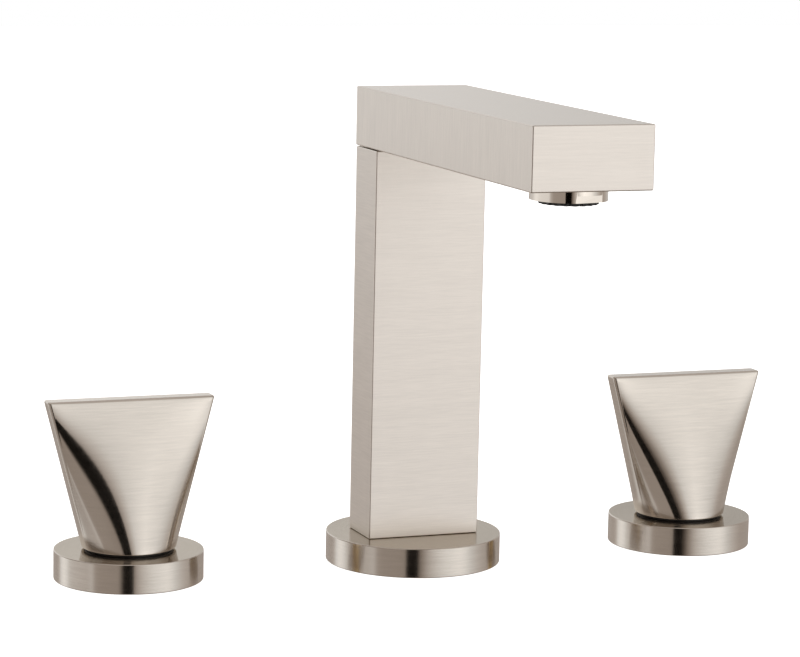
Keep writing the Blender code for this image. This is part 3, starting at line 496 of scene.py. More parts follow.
def grainy(name, colour, roughness, metallic, grain, amount, depth):
    material, shade, surface = newMaterial(name, {"Metallic": metallic})
    where = shade.objectPlace()
    spots = shade.noise(where, 1 / grain, grainLook["detail"])
    broad = shade.noise(where, 1 / (grainLook["broadSize"] * grain), grainLook["broadDetail"])
    tone = 1 + (spots - 0.5) * amount + (broad - 0.5) * amount
    rough = roughness + (spots - 0.5) * (grainLook["roughShare"] * amount)
    connect(surface, shade.tinted(colour, tone), rough, spots, depth)
    return material


polished = grainy(
    "polishedNickel", (0.80, 0.73, 0.65), roughness=0.07, metallic=1.0,
    grain=3 * mm, amount=0.03, depth=0.0005 * mm)
blackPlastic = grainy(
    "blackPlastic", (0.012, 0.012, 0.012), roughness=0.35, metallic=0.0,
    grain=0.25 * mm, amount=0.3, depth=0.004 * mm)
rubber = grainy(
    "blackRubber", (0.022, 0.022, 0.023), roughness=0.7, metallic=0.0,
    grain=0.3 * mm, amount=0.4, depth=0.01 * mm)
brass = grainy(
    "brassStock", (0.80, 0.60, 0.32), roughness=0.30, metallic=1.0,
    grain=0.4 * mm, amount=0.15, depth=0.004 * mm)
copper = grainy(
    "copperTube", (0.76, 0.37, 0.22), roughness=0.25, metallic=1.0,
    grain=0.5 * mm, amount=0.15, depth=0.003 * mm)
steel = grainy(
    "steelStock", (0.55, 0.54, 0.53), roughness=0.3, metallic=1.0,
    grain=0.3 * mm, amount=0.12, depth=0.003 * mm)
nylon = grainy(
    "whiteNylon", (0.78, 0.77, 0.73), roughness=0.45, metallic=0.0,
    grain=0.4 * mm, amount=0.06, depth=0.003 * mm)
ceramic = grainy(
    "whiteCeramic", (0.86, 0.86, 0.83), roughness=0.12, metallic=0.0,
    grain=0.5 * mm, amount=0.03, depth=0.0005 * mm)
print("materials made")


facing = 0.75       # how much of a face's normal lies along the axis that it faces
level = 0.99        # and of a level face's along Z


def armFinish(face):
    # level lines on the front and back, upright ones on the sides, its own finish above and below
    if abs(face.normal.x) > facing:
        return 1
    if abs(face.normal.z) > facing:
        return 2
    return 0


def levelFinish(face):
    return 1 if abs(face.normal.z) > facing else 0


# Spout arm: hollow bar, open underneath for the column's spigot and the aerator

arm = {
    "edge": 0.45 * mm,
    "edgeSteps": 4,
    "wall": 2.0 * mm,
    "spigot": (17.3 * mm, 7.3 * mm),    # half the sides of the hole for the spigot
    "hole": 11.8 * mm,                  # radius of the hole over the aerator
}
armLow, armHigh = boxOf("spout_arm")
streamLow, streamHigh = boxOf("aerator_housing")
stream = (streamLow + streamHigh) / 2


def makeArm():
    piece = cube("spoutArm", armLow, armHigh)
    roundOff(piece, arm["edge"], arm["edgeSteps"])
    wall = Vector((arm["wall"],) * 3)
    carve(piece, cube("armInside", armLow + wall, armHigh - wall))
    halfX, halfY = arm["spigot"]
    below, above = armLow.z - over, armLow.z + arm["wall"] + over
    carve(piece, cube("armSpigotHole", (-halfX, -halfY, below), (halfX, halfY, above)))
    carve(piece, rod("armStreamHole", arm["hole"], (0, stream.y, below), (0, stream.y, above), sides=64))
    smooth(piece)
    dress(piece, "faucet", "spout_arm", [levelLines, uprightLines, topLines], armFinish)


# Spout column: bar with a solid foot, a spigot at the top and a socket for the shank underneath

column = {
    "edge": 0.4 * mm,
    "edgeSteps": 4,
    "seat": 0.25 * mm,          # how far it comes down below the CAD column, to the plate
    "spigotIn": 2.8 * mm,
    "spigotUp": 3.2 * mm,
    "spigotWall": 1.2 * mm,
    "hollow": 118 * mm,         # deep, from the spigot's top
    "socket": 7.3 * mm,
    "socketDeep": 14.4 * mm,
    "tubeHole": 4.3 * mm,
    "tubeHoleDeep": 30 * mm,
}


def makeColumn():
    low, high = boxOf("spout_column")
    top = armLow.z - gap
    piece = cube("spoutColumn", (low.x, low.y, low.z - column["seat"]), (high.x, high.y, top))
    roundOff(piece, column["edge"], column["edgeSteps"])
    choose(piece, "FACE", lambda face: face.normal.z > level and face.calc_center_median().z > top - over)
    inset(column["spigotIn"])
    extrude((0, 0, column["spigotUp"]))
    inset(column["spigotWall"])
    extrude((0, 0, -column["hollow"]))
    closeEdit()
    socketTop, tubeHoleTop = low.z + column["socketDeep"], low.z + column["tubeHoleDeep"]
    carve(piece, rod("columnSocket", column["socket"], (0, 0, low.z - over), (0, 0, socketTop)))
    carve(piece, rod("columnTubeHole", column["tubeHole"], (0, 0, low.z), (0, 0, tubeHoleTop)))
    smooth(piece)
    dress(piece, "faucet", "spout_column", [levelLines, topLines], levelFinish)


# Round base plates, with a groove underneath for the gasket

plate = {
    "edge": 0.35 * mm,
    "rim": 3 * mm,          # wide, outside the groove
    "land": 2 * mm,         # wide, round the bore
    "groove": 2 * mm,       # deep
    "rimFinish": {"roughness": 0.185, "anisotropy": 0.75},
    "topFinish": {"roughness": 0.12, "grazing": (0.55, 0.53, 0.5)},
}


def makePlate(name, node, shaft):
    low, high = boxOf(node)
    centre, radius, bore = (low + high) / 2, (high.x - low.x) / 2, shaft + gap
    outer, inner = radius - plate["rim"], bore + plate["land"]
    profile = [
        (radius, high.z), (radius, 0), (outer, 0), (outer, plate["groove"]),
        (inner, plate["groove"]), (inner, 0), (bore, 0), (bore, high.z),
    ]
    piece = turned(name, profile, fine, centre)
    roundOff(piece, plate["edge"])
    smooth(piece)
    around = ringPlace(centre, radius)
    rimFinish = brushedNickel(name + "Rim", around, levelTurn, **plate["rimFinish"])
    topFinish = brushedNickel(name + "Top", around, levelTurn, **plate["topFinish"])
    dress(piece, "faucet", node, [rimFinish, topFinish], levelFinish)


# Aerator: polished ring with two spanner flats, and the black toothed insert in it

ring = {
    "radius": 12 * mm,
    "thread": 11.5 * mm,    # radius of the part inside the arm
    "bore": 9.8 * mm,
    "height": 3.8 * mm,     # of what shows
    "edge": 0.15 * mm,
    "flatDeep": 0.9 * mm,
    "flatHigh": 2.2 * mm,
    "turn": 11.0,           # of the flats, in degrees
}


def makeAerator():
    shoulder = streamLow.z + ring["height"]
    profile = [
        (ring["thread"], streamHigh.z), (ring["thread"], shoulder), (ring["radius"], shoulder),
        (ring["radius"], streamLow.z), (ring["bore"], streamLow.z), (ring["bore"], streamHigh.z),
    ]
    piece = turned("aeratorRing", profile, fine, stream)
    cutFlats(
        piece, ring["radius"], ring["flatDeep"], streamLow.z - over, streamLow.z + ring["flatHigh"],
        ring["turn"], (0, stream.y, 0))
    roundOff(piece, ring["edge"], segments=2)
    smooth(piece)
    dress(piece, "faucet", "aerator_housing", [polished])


insert = {
    "radius": 9.5 * mm,
    "tooth": 0.6 * mm,
    "teeth": 20,
    "toothPoints": 4,       # two out, two in
    "drop": 1.2 * mm,       # height of the toothed part
    "rim": 2.4 * mm,
    "recess": 0.8 * mm,
    "outlet": 0.55 * mm,
    "outletDeep": 4 * mm,
    "rows": ((0, 1), (2.2 * mm, 6), (4.2 * mm, 12), (6.1 * mm, 18)),    # radius and outlets of each
}


def toothedDisc(low):
    # a disc whose rim steps in and out, drawn up to the height of the teeth
    sides = insert["toothPoints"] * insert["teeth"]
    bpy.ops.object.select_all(action="DESELECT")
    bpy.ops.mesh.primitive_circle_add(
        vertices=sides, radius=insert["radius"] - gap, fill_type="NGON", location=(0, stream.y, low.z))
    piece = named("aeratorInsert")

    def inGap(vert):
        point = round(math.atan2(vert.co.y - stream.y, vert.co.x) / (2 * math.pi) * sides)
        return point % insert["toothPoints"] in (0, insert["toothPoints"] - 1)

    choose(piece, "VERT", inGap)
    shrink = 1 - insert["tooth"] / insert["radius"]
    bpy.ops.transform.resize(value=(shrink, shrink, 1), center_override=(0, stream.y, low.z))
    chooseAll()
    extrude((0, 0, insert["drop"]))
    faceOutwards()
    closeEdit()
    return piece


def outletCutter(low):
    # a rod for each outlet, all joined
    outlets = []
    for away, count in insert["rows"]:
        for step in range(count):
            angle = 2 * math.pi * step / count
            x, y = away * math.cos(angle), away * math.sin(angle) + stream.y
            start, end = (x, y, low.z - over), (x, y, low.z + insert["outletDeep"])
            outlets.append(rod("outlet", insert["outlet"], start, end, sides=10))
    pick(outlets[0])
    for outlet in outlets:
        outlet.select_set(True)
    bpy.ops.object.join()
    return outlets[0]


def makeInsert():
    low, high = boxOf("aerator_insert")
    piece = toothedDisc(low)
    outer, inner = insert["radius"], insert["radius"] - insert["rim"]
    shoulder, recess = low.z + insert["drop"] - gap, low.z + insert["recess"]
    body = rod("insertBody", outer, (0, stream.y, shoulder), (0, stream.y, high.z), sides=64)
    carve(piece, body, "UNION")
    carve(piece, rod("insertRecess", inner, (0, stream.y, low.z - over), (0, stream.y, recess)))
    carve(piece, outletCutter(low))
    smooth(piece)
    dress(piece, "faucet", "aerator_insert", [blackPlastic])


# Knob: round where it stands, drawn out in straight lines to a thin blade at the top

knob = {
    "sides": 720,
    "rows": 24,
    "foot": 15.8 * mm,          # radius
    "length": 57.4 * mm,        # of the blade
    "thickness": 6.5 * mm,
    "corner": 1.2 * mm,
    "cornerAngles": (74, 78),   # degrees of the foot's circle, from the front, that run up to a corner
    "gather": 0.6,              # how much the lines up the front gather towards the blade's ends
    "topEdge": 0.85 * mm,
    "topEdgeSteps": 5,
    "footEdge": 0.35 * mm,
    "footEdgeSteps": 3,
    "skirt": 0.8 * mm,          # wide, round the hollow underneath
    "ledgeDeep": 1.2 * mm,
    "ledgeWide": 2.4 * mm,
    "hollowDeep": 3.4 * mm,
    "adapter": 6.3 * mm,        # radius and depth of the adapter's hole
    "adapterDeep": 19.8 * mm,
    "screwHole": 2.3 * mm,
    "screwFrom": 4 * mm,
    "screwUp": 14 * mm,
}


def bladePoint(angle):
    # where a point of the foot's circle ends up on a quarter of the blade's outline
    corner = knob["corner"]
    straightX, straightY = knob["length"] / 2 - corner, knob["thickness"] / 2 - corner
    start, end = knob["cornerAngles"]
    if angle <= start:
        along = angle / start
        along += (math.sin(math.pi / 2 * along) - along) * knob["gather"]
        return straightX * along, straightY + corner
    if angle <= end:
        turn = math.pi / 2 * (angle - start) / (end - start)
        return straightX + corner * math.sin(turn), straightY + corner * math.cos(turn)
    return straightX + corner, straightY * (90 - angle) / (90 - end)


def edgeAt(height):
    # a test for edges that lie at the height
    return lambda edge: all(abs(vert.co.z - height) < flush for vert in edge.verts)


def knobSkin(base, top):
    # a hoop drawn up from the foot, its upper end spread to the blade's outline
    bpy.ops.object.select_all(action="DESELECT")
    bpy.ops.mesh.primitive_circle_add(vertices=knob["sides"], radius=knob["foot"], location=(0, 0, base))
    piece = named("knob")
    openEdit(piece, "EDGE")
    chooseAll()
    bpy.ops.mesh.extrude_edges_move(TRANSFORM_OT_translate={"value": (0, 0, top - base)})
    mesh = bmesh.from_edit_mesh(piece.data)
    for vert in mesh.verts:
        if vert.co.z > base + over:
            angle = math.degrees(math.atan2(abs(vert.co.x), abs(vert.co.y)))
            x, y = bladePoint(angle)
            vert.co.x, vert.co.y = math.copysign(x, vert.co.x), math.copysign(y, vert.co.y)
    bmesh.update_edit_mesh(piece.data)
    closeEdit()
    choose(piece, "EDGE", lambda edge: abs(edge.verts[0].co.z - edge.verts[1].co.z) > over)
    bpy.ops.mesh.subdivide(number_cuts=knob["rows"] - 1)
    for height in (base, top):
        choose(piece, "EDGE", edgeAt(height))
        bpy.ops.mesh.edge_face_add()
    faceOutwards()
    closeEdit()
    return piece


def hollowKnob(piece, base):
    # up from the foot's face: a ledge, a hollow over the bonnet nut and the adapter's hole
    def footFace(face):
        return len(face.verts) == knob["sides"] and face.calc_center_median().z < base + over

    choose(piece, "FACE", footFace)
    inset(knob["skirt"] - knob["footEdge"])
    extrude((0, 0, knob["ledgeDeep"]))
    inset(knob["ledgeWide"])
    extrude((0, 0, knob["hollowDeep"]))
    inset(knob["foot"] - knob["skirt"] - knob["ledgeWide"] - knob["adapter"])
    extrude((0, 0, knob["adapterDeep"]))
    closeEdit()


def makeKnob():
    base, top = (corner.z for corner in boxOf("left_knob"))
    piece = knobSkin(base, top)
    for height, edge in ((top, "topEdge"), (base, "footEdge")):
        choose(piece, "EDGE", edgeAt(height))
        width, steps = knob[edge], knob[edge + "Steps"]
        bpy.ops.mesh.bevel(offset=width, segments=steps, profile=0.5, affect="EDGES", clamp_overlap=False)
    hollowKnob(piece, base)
    height = base + knob["screwUp"]
    start, end = (0, knob["screwFrom"], height), (0, knob["foot"], height)
    carve(piece, rod("screwHole", knob["screwHole"], start, end, sides=32))
    smooth(piece)
    return piece


# Set screw at the back of the knob, and the ring that the knob slides on, partly a real glide ring and
# partly painted shade for the gap under the knob

screw = {"radius": 2 * mm, "tip": 6.3 * mm, "socket": 1.1 * mm, "socketDeep": 2 * mm, "edge": 0.25 * mm}


def makeSetScrew():
    low, high = boxOf("left_set_screw")
    height, back = (low.z + high.z) / 2, high.y
    piece = rod("setScrew", screw["radius"], (0, screw["tip"], height), (0, back, height))
    roundOff(piece, screw["edge"], segments=2)
    start, end = (0, back - screw["socketDeep"], height), (0, back + over, height)
    carve(piece, rod("screwSocket", screw["socket"], start, end, sides=6))
    smooth(piece)
    return piece


# a real glide ring and also painted shade: it is black, and its lip sags down to the plate, so the gap
# under the knob shows as a dark line
glideAndGapShade = {"radius": 14.7 * mm, "width": 1.8 * mm, "sag": 0.25 * mm, "edge": 0.2 * mm}


def makeGlideRingAndGapShade():
    low, high = boxOf("left_glide_ring")
    outer, inner, foot = glideAndGapShade["radius"], glideAndGapShade["radius"] - glideAndGapShade["width"], low.z - glideAndGapShade["sag"]
    piece = turned("glideRing", [(outer, high.z), (outer, foot), (inner, foot), (inner, high.z)])
    roundOff(piece, glideAndGapShade["edge"], segments=2)
    smooth(piece)
    return piece


def axisOf(station):
    low, high = boxOf(station + "_base_plate")
    return Vector(((low.x + high.x) / 2, 0, 0))


def makeHandles():
    blade, setScrew, glideRing = makeKnob(), makeSetScrew(), makeGlideRingAndGapShade()
    for side in ("left", "right"):
        axis, body = axisOf(side), side + "_handle"
        dress(twin(blade, side + "Knob", axis), body, side + "_knob",
              [bladeLines, topLines], levelFinish)
        dress(twin(setScrew, side + "SetScrew", axis), body, side + "_set_screw", [steel])
        # black here is partly painted shade for the gap under the knob
        dress(twin(glideRing, side + "GlideRing", axis), body, side + "_glide_ring",
              [blackPlastic])
        makePlate(side + "BasePlate", side + "_base_plate", valve["radius"])
    for piece in (blade, setScrew, glideRing):
        bpy.data.objects.remove(piece, do_unlink=True)


# Under the deck: threaded shank and tee, the two valve bodies, and what holds each station down

hosePort = {
    "radius": 8.3 * mm,
    "bore": 4 * mm,
    "pitch": 1.337 * mm,
    "collar": 9.4 * mm,
    "collarWide": 1.6 * mm,
    "collarEdge": 0.3 * mm,
}


def makeHosePort(name, start, reach, way, height):
    # threaded nipple with a collar at its root, made upright and then laid along X
    piece = threaded(name, hosePort["radius"], start, reach + over, hosePort["pitch"])
    chamferThread(piece, hosePort["radius"], reach, 0, steps=64)
    collarEnd = (0, 0, start + hosePort["collarWide"])
    collar = rod(name + "Collar", hosePort["collar"], (0, 0, 0), collarEnd, sides=64)
    roundOff(collar, hosePort["collarEdge"], segments=2)
    carve(piece, collar, "UNION")
    laid = Matrix.Rotation(math.radians(90) * way, 4, "Y")
    piece.data.transform(Matrix.Translation((0, 0, height)) @ laid)
    return piece


shank = {
    "radius": 8 * mm,
    "neck": 7 * mm,         # radius of the stretch in the column
    "neckEdge": 0.4 * mm,
    "bore": 3.2 * mm,
    "seat": 4.3 * mm,       # radius and depth of the tube's seat
    "seatDeep": 10.3 * mm,
    "pitch": 1.5 * mm,
}


def makeShank():
    low, high = boxOf("spout_shank")
    shoulder, ledge = boxOf("spout_base_plate")[1].z, high.z - shank["seatDeep"]
    neck, edge, chamfer = shank["neck"], shank["neckEdge"], thread["chamfer"]
    outer = shank["radius"] + thread["clear"]
    piece = threaded("spoutShank", shank["radius"], low.z - over, high.z + over, shank["pitch"])
    outline = [
        (shank["seat"], high.z), (neck - edge, high.z), (neck, high.z - edge), (neck, shoulder),
        (outer, shoulder), (outer, low.z + chamfer), (outer - chamfer, low.z),
        (shank["bore"], low.z), (shank["bore"], ledge), (shank["seat"], ledge),
    ]
    carve(piece, turned("shankBlank", outline), "INTERSECT")
    smooth(piece)
    dress(piece, "faucet", "spout_shank", [brass])


tee = {
    "radius": 12 * mm,
    "edge": 0.8 * mm,
    "end": -62 * mm,        # height of the shank's end
    "port": 4 * mm,         # from there down to the ports' axis
    "passage": 6 * mm,
    "flatDeep": 1 * mm,
    "flatHigh": 9 * mm,
}


def makeTee():
    low, high = boxOf("hose_tee")
    height = tee["end"] - tee["port"]
    piece = drum("hoseTee", tee["radius"], low.z, high.z, tee["edge"])
    cutFlats(piece, tee["radius"], tee["flatDeep"], high.z - tee["flatHigh"], high.z + over)
    for way in (-1, 1):
        carve(piece, makeHosePort("teePort", tee["radius"] - over, high.x, way, height), "UNION")
    well, seat, passage = shank["radius"] + gap, tee["end"] - gap, tee["passage"]
    carve(piece, turned("teeWell", [
        (0, high.z + over), (well, high.z + over), (well, seat), (passage, seat),
        (passage, height - passage), (0, height - passage),
    ], steps=64))
    carve(piece, rod("teeBore", hosePort["bore"], (low.x - over, 0, height), (high.x + over, 0, height)))
    smooth(piece)
    dress(piece, "faucet", "hose_tee", [brass])


valve = {
    "radius": 13.5 * mm,
    "pitch": 2 * mm,
    "chest": 15.5 * mm,     # the thick part below the locknut, its radius and heights
    "chestTop": -40 * mm,
    "chestBottom": -64 * mm,
    "edge": 0.6 * mm,
    "flatDeep": 1.2 * mm,
    "port": -50 * mm,       # height of the outlet, and how far it reaches
    "reach": 29.5 * mm,
    "inlet": 10.5 * mm,
    "inletPitch": 1.814 * mm,
    "inletBore": 5.2 * mm,
    "mouth": 11.3 * mm,     # inside, from the top down: radii and heights
    "flange": -2 * mm,
    "sleeve": 9.3 * mm,
    "chamberTop": -24.8 * mm,
    "chamber": 11 * mm,
    "chamberBottom": -56 * mm,
    "riser": 7.2 * mm,      # pipe up the middle, to the discs
    "riserTop": -38.3 * mm,
}


def makeValveBody():
    # at the origin, its outlet towards +X
    low, high = boxOf("left_valve_body")
    radius, inlet, chest = valve["radius"], valve["inlet"], valve["chest"]
    top, bottom = valve["chestTop"], valve["chestBottom"]
    piece = threaded("valveBody", radius, top - over, high.z + over, valve["pitch"], steps=64)
    chamferThread(piece, radius, high.z, top - 2 * over)
    thickPart = drum("valveChest", chest, bottom, top, valve["edge"])
    cutFlats(thickPart, chest, valve["flatDeep"], bottom - over, top + over)
    carve(piece, thickPart, "UNION")
    foot = threaded("valveInlet", inlet, low.z - over, bottom + over, valve["inletPitch"], steps=56)
    chamferThread(foot, inlet, low.z, bottom + 2 * over)
    carve(piece, foot, "UNION")
    carve(piece, makeHosePort("valvePort", chest - over, valve["reach"], 1, valve["port"]), "UNION")
    inside = [
        (0, high.z + over), (valve["mouth"], high.z + over), (valve["mouth"], valve["flange"]),
        (valve["sleeve"], valve["flange"]), (valve["sleeve"], valve["chamberTop"]),
        (valve["chamber"], valve["chamberTop"]), (valve["chamber"], valve["chamberBottom"]),
        (valve["riser"], valve["chamberBottom"]), (valve["riser"], valve["riserTop"]),
        (valve["inletBore"], valve["riserTop"]), (valve["inletBore"], low.z - over), (0, low.z - over),
    ]
    carve(piece, turned("valveInside", inside, steps=64))
    start, end = (valve["riser"] + over, 0, valve["port"]), (valve["reach"] + over, 0, valve["port"])
    carve(piece, rod("portBore", hosePort["bore"], start, end))
    smooth(piece)
    return piece


washer = {"softEdge": 0.5 * mm, "steelEdge": 0.25 * mm}


def makeWasher(name, node, bore, edge, material):
    low, high = boxOf(node)
    outer = (high.x - low.x) / 2
    outline = [(outer, high.z), (outer, low.z), (bore, low.z), (bore, high.z)]
    piece = turned(name, outline, centre=(low + high) / 2)
    roundOff(piece, edge)
    smooth(piece)
    dress(piece, "faucet", node, [material])


nut = {"edge": 1 * mm, "mouth": 0.6 * mm, "corner": 0.3 * mm, "smoothAngle": 25}


def makeLocknut(name, node, bore):
    low, high = boxOf(node)
    centre, corner = (low + high) / 2, (high.x - low.x) / math.sqrt(3)
    edge, mouth = nut["edge"], bore + nut["mouth"]
    piece = turned(name, [
        (corner - edge, high.z), (corner + edge, high.z - edge),
        (corner + edge, low.z + edge), (corner - edge, low.z),
        (mouth, low.z), (bore, low.z + nut["mouth"]),
        (bore, high.z - nut["mouth"]), (mouth, high.z),
    ], centre=centre)
    start, end = (centre.x, 0, low.z - over), (centre.x, 0, high.z + over)
    hexagon = rod("nutHexagon", corner, start, end, sides=6)
    roundOff(hexagon, nut["corner"], segments=2)
    carve(piece, hexagon, "INTERSECT")
    smooth(piece, nut["smoothAngle"])
    dress(piece, "faucet", node, [brass])


def makeUnderDeck():
    made = set(bpy.data.objects)
    makeShank()
    makeTee()
    valveBody = makeValveBody()
    for side, turn in (("left", 0.0), ("right", math.pi)):
        body = twin(valveBody, side + "ValveBody", axisOf(side), turn)
        dress(body, "faucet", side + "_valve_body", [brass])
    bpy.data.objects.remove(valveBody, do_unlink=True)
    for side, shaft in (("left", valve["radius"]), ("spout", shank["radius"]), ("right", valve["radius"])):
        bore = shaft + gap
        gasketBore = bore + plate["land"] + gap
        softEdge, steelEdge = washer["softEdge"], washer["steelEdge"]
        makeWasher(side + "RubberWasher", side + "_rubber_washer", bore, softEdge, rubber)
        makeWasher(side + "SteelWasher", side + "_steel_washer", bore, steelEdge, steel)
        makeWasher(side + "DeckGasket", side + "_deck_gasket", gasketBore, softEdge, rubber)
        makeLocknut(side + "Locknut", side + "_locknut", bore)
    for piece in set(bpy.data.objects) - made:
        piece.visible_glossy = False        # the deck hides them from what shines above it


makeArm()
makeColumn()
makePlate("spoutBasePlate", "spout_base_plate", shank["radius"])
makeAerator()
makeInsert()
print("spout made")
makeHandles()
print("handles made")
makeUnderDeck()
print("valves, shank and fasteners made")


# Inner pieces keep their CAD shapes and get their finish

stock = {
    "seal": rubber, "gasket": rubber, "rubber": rubber, "o_ring": rubber,
    "tube": copper, "screen": steel, "steel": steel,
    "adapter": nylon, "disc": ceramic,
}
for name, node in frame["nodes"].items():
    finish = brass
    for word, material in stock.items():
        if word in name:
            finish = material
            break
    node.data.materials.clear()
    node.data.materials.append(finish)
print("inner pieces finished")


# Camera

view = {
    "lens": 139.39,
    "sensor": 36,
    "place": (-0.38217, -0.97268, 0.24239),
    "yaw": 21.125,      # degrees
    "pitch": -8.823,
    "roll": 1.194,
}
yaw = math.radians(view["yaw"])
rightward = Vector((math.cos(yaw), -math.sin(yaw), 0))
towards = Vector((-math.sin(yaw), -math.cos(yaw), 0))       # from the faucet to the camera


def makeCamera():
    camera = bpy.data.objects.new("camera", bpy.data.cameras.new("camera"))
    bpy.context.scene.collection.objects.link(camera)
    camera.data.lens = view["lens"]
    camera.data.sensor_width = view["sensor"]
    camera.location = view["place"]
    look = Euler((math.radians(90 + view["pitch"]), 0, -yaw)).to_matrix()
    camera.rotation_euler = (look @ Matrix.Rotation(math.radians(view["roll"]), 3, "Z")).to_euler()
    bpy.context.scene.camera = camera


# Brightness of the studio round the faucet, by degrees to the right of the camera, in rows from low to high

studio = {
    "table": (
        (-180, 0.36), (-155, 0.42), (-142, 0.40), (-133, 0.42), (-127, 0.52), (-121, 0.80), (-112, 0.96),
        (-104, 0.84), (-97, 0.62), (-88, 0.55), (-75, 0.52), (-62, 0.49), (-57, 0.57), (-53, 0.60),
        (-47, 0.38), (-40, 0.34), (-10, 0.32), (-3, 0.03), (5, 0.05), (10, 0.20), (17, 0.38), (25, 0.53),
        (34, 0.62), (47, 0.75), (57, 0.87), (66, 0.94), (74, 0.88), (84, 0.69), (94, 0.58), (104, 0.50),
        (116, 0.42), (180, 0.34),
    ),
    "level": (
        (-180, 0.78), (-150, 0.74), (-138, 0.75), (-128, 0.86), (-112, 1.0), (-62, 0.95), (-55, 0.45),
        (-48, 0.38), (-9, 0.36), (-3, 0.01), (6, 0.10), (15, 0.46), (24, 0.84), (34, 1.26), (44, 1.50),
        (54, 1.32), (66, 1.16), (74, 0.90), (84, 0.72), (92, 0.58), (102, 0.44), (113, 0.38), (125, 0.48),
        (140, 0.60), (160, 0.72), (180, 0.78),
    ),
    "high": (
        (-180, 0.93), (-174, 0.99), (-164, 0.95), (-150, 0.85), (-128, 0.70), (-110, 0.30), (-100, 0.13),
        (-62, 0.13), (-52, 0.26), (-7, 0.26), (-3, 0.01), (5, 0.07), (13, 0.29), (20, 0.54), (27, 0.77),
        (36, 0.90), (46, 0.97), (56, 0.91), (64, 0.82), (72, 0.74), (80, 0.66), (88, 0.57), (97, 0.46),
        (110, 0.38), (130, 0.45), (150, 0.52), (162, 0.62), (171, 0.70), (176, 0.80), (180, 0.93),
    ),
    "horizon": (-8.5, -5.5),    # degrees up, from the end of the table's row to the full level one
    "rise": (-4, 8),            # the same for the level row and the high one
    "ceiling": (26, 46),        # and for the high row and the overhead light
    "overhead": 0.50,
    "cellar": (-42, -20),
    "below": 0.19,
    "cool": (1.0, 1.0, 1.0),    # tint of full light and of the dim parts of the studio
    "warm": (1.0, 0.765, 0.60),
    "full": 0.7,                # brightness from which the light is cool
}


def studioColour(light):
    share = min(1.0, light / studio["full"])
    return tuple(
        light * (warm + (cool - warm) * share) for warm, cool in zip(studio["warm"], studio["cool"]))


def makeWorld():
    world = bpy.data.worlds.new("studio")
    bpy.context.scene.world = world
    world.use_nodes = True
    tree = world.node_tree
    tree.nodes.clear()
    shade = Socket(tree)
    heading = shade.add("TexCoord", {}, {}, "Generated")
    across = shade.vector("DOT_PRODUCT", heading, rightward, "Value")
    ahead = shade.vector("DOT_PRODUCT", heading, towards, "Value")
    rise = shade.add("SeparateXYZ", {}, {"Vector": heading}, "Z")
    elevation = shade.math("ARCSINE", rise)
    azimuth = shade.math("ARCTAN2", across, ahead) * (0.5 / math.pi) + 0.5

    def row(name):
        stops = [((angle + 180) / 360, studioColour(light)) for angle, light in studio[name]]
        return shade.add("ValToRGB", {"stops": stops}, {"Fac": azimuth})

    def above(name):
        low, high = (math.radians(angle) for angle in studio[name])
        return shade.range(elevation, low, high, 0.0, 1.0)

    light = shade.mix(above("horizon"), row("table"), row("level"))
    light = shade.mix(above("rise"), light, row("high"))
    light = shade.mix(above("ceiling"), light, (*studioColour(studio["overhead"]), 1))
    light = shade.mix(above("cellar"), (*studioColour(studio["below"]), 1), light)
    seen = shade.add("LightPath", {}, {}, "Is Camera Ray")
    lit = shade.add("Background", {}, {"Color": light, "Strength": 1.0})
    white = shade.add("Background", {}, {"Color": (1, 1, 1, 1), "Strength": 1.0})
    both = shade.add("MixShader", {}, {0: seen, 1: lit, 2: white})
    output = tree.nodes.new("ShaderNodeOutputWorld")
    link(both, output.inputs["Surface"])


# Stage planes, each seen by one kind of ray only

def stagePlane(name, size, height, material, seenBy):
    bpy.ops.object.select_all(action="DESELECT")
    bpy.ops.mesh.primitive_plane_add(size=size, location=(0, 0, height))
    piece = named(name)
    piece.data.materials.append(material)
    for ray in ("camera", "glossy", "diffuse", "transmission", "shadow"):
        setattr(piece, "visible_" + ray, ray == seenBy)
    return piece


# the dark card that the camera looks out through, seen only in reflections
card = {"halfWidth": 145 * mm, "low": -700 * mm, "high": 900 * mm, "colour": (0.004, 0.003, 0.002)}


def makeCard():
    material = newMaterial("darkCard", {
        "Base Color": (*card["colour"], 1), "Roughness": 1.0, "Specular IOR Level": 0.0,
    })[0]
    piece = stagePlane("darkCard", 1, 0, material, "glossy")
    for vert in piece.data.vertices:
        height = card["high"] if vert.co.y > 0 else card["low"]
        side = math.copysign(card["halfWidth"], vert.co.x)
        vert.co = Vector((*view["place"][:2], height)) + rightward * side
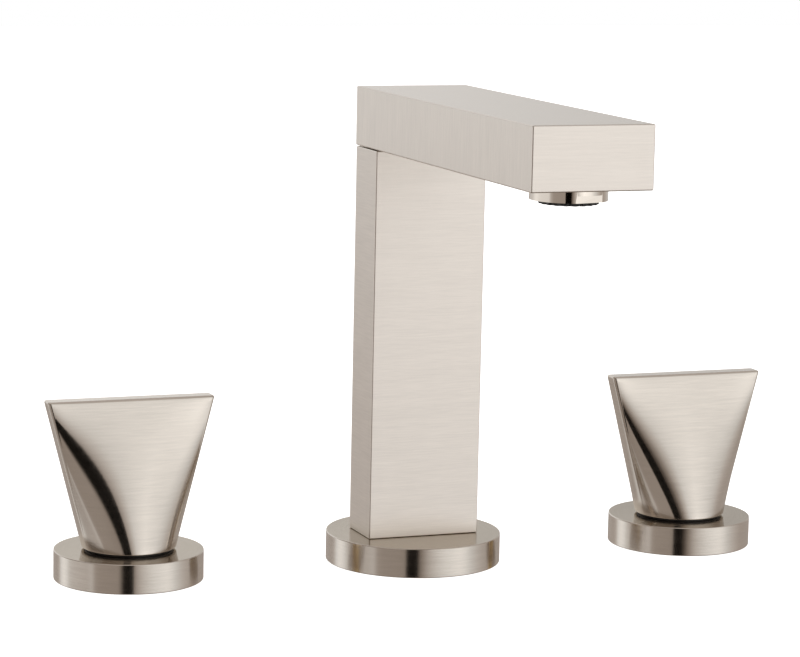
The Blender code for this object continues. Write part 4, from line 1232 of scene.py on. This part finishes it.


# painted shadow: dim patches below the floor, seen only in reflections, which the plates' rims mirror as
# their neighbours' shade
shadowPatch = {
    "size": 6000 * mm,
    "deep": 12 * mm,
    "long": 32 * mm,        # half the length and the width of a patch
    "wide": 20 * mm,
    "soft": 0.12,
    "colour": (0.15, 0.112, 0.082),
}


def makeShadowPatches():
    material = bpy.data.materials.new("floorShade")
    material.use_nodes = True
    material.node_tree.nodes.clear()
    shade = Socket(material.node_tree)
    where = shade.objectPlace()
    scale = Vector((1 / shadowPatch["long"], 1 / shadowPatch["wide"], 0))
    shadowed = 0.0
    for station in ("left", "spout", "right"):
        place = {"Vector": where, "Scale": scale, "Location": -axisOf(station) * scale}
        away = shade.vector("LENGTH", shade.add("Mapping", {}, place), output="Value")
        shadowed = shade.range(away, 1 - shadowPatch["soft"], 1 + shadowPatch["soft"], 1.0, 0.0) + shadowed
    # painted shadow: a dim glow where a patch lies, clear everywhere else
    paintedShadow = shade.add("Emission", {}, {"Color": (*shadowPatch["colour"], 1), "Strength": 1.0})
    clear = shade.add("BsdfTransparent", {}, {"Color": (1, 1, 1, 1)})
    output = material.node_tree.nodes.new("ShaderNodeOutputMaterial")
    link(shade.add("MixShader", {}, {0: shadowed, 1: clear, 2: paintedShadow}), output.inputs["Surface"])
    stagePlane("floorShade", shadowPatch["size"], -shadowPatch["deep"], material, "glossy")


# pale floor, seen from above only, so that the underside can be looked at too
floor = {"size": 6000 * mm, "drop": 0.05 * mm, "colour": (0.9, 0.9, 0.9), "glow": 1.0}


def makeFloor():
    material, shade, surface = newMaterial("paleFloor", {
        "Base Color": (*floor["colour"], 1),
        "Emission Color": (1, 1, 1, 1),
        "Emission Strength": floor["glow"],
    })
    below = shade.add("NewGeometry", {}, {}, "Backfacing")
    clear = shade.add("BsdfTransparent", {}, {"Color": (1, 1, 1, 1)})
    pale = Socket(shade.tree, surface.outputs["BSDF"])
    oneSided = shade.add("MixShader", {}, {0: below, 1: pale, 2: clear})
    link(oneSided, shade.tree.nodes["Material Output"].inputs["Surface"])
    stagePlane("floor", floor["size"], -floor["drop"], material, "camera")


makeCamera()
makeWorld()
makeCard()
makeShadowPatches()
makeFloor()
bpy.context.scene.view_settings.view_transform = "Standard"
print("camera, light and floor set")
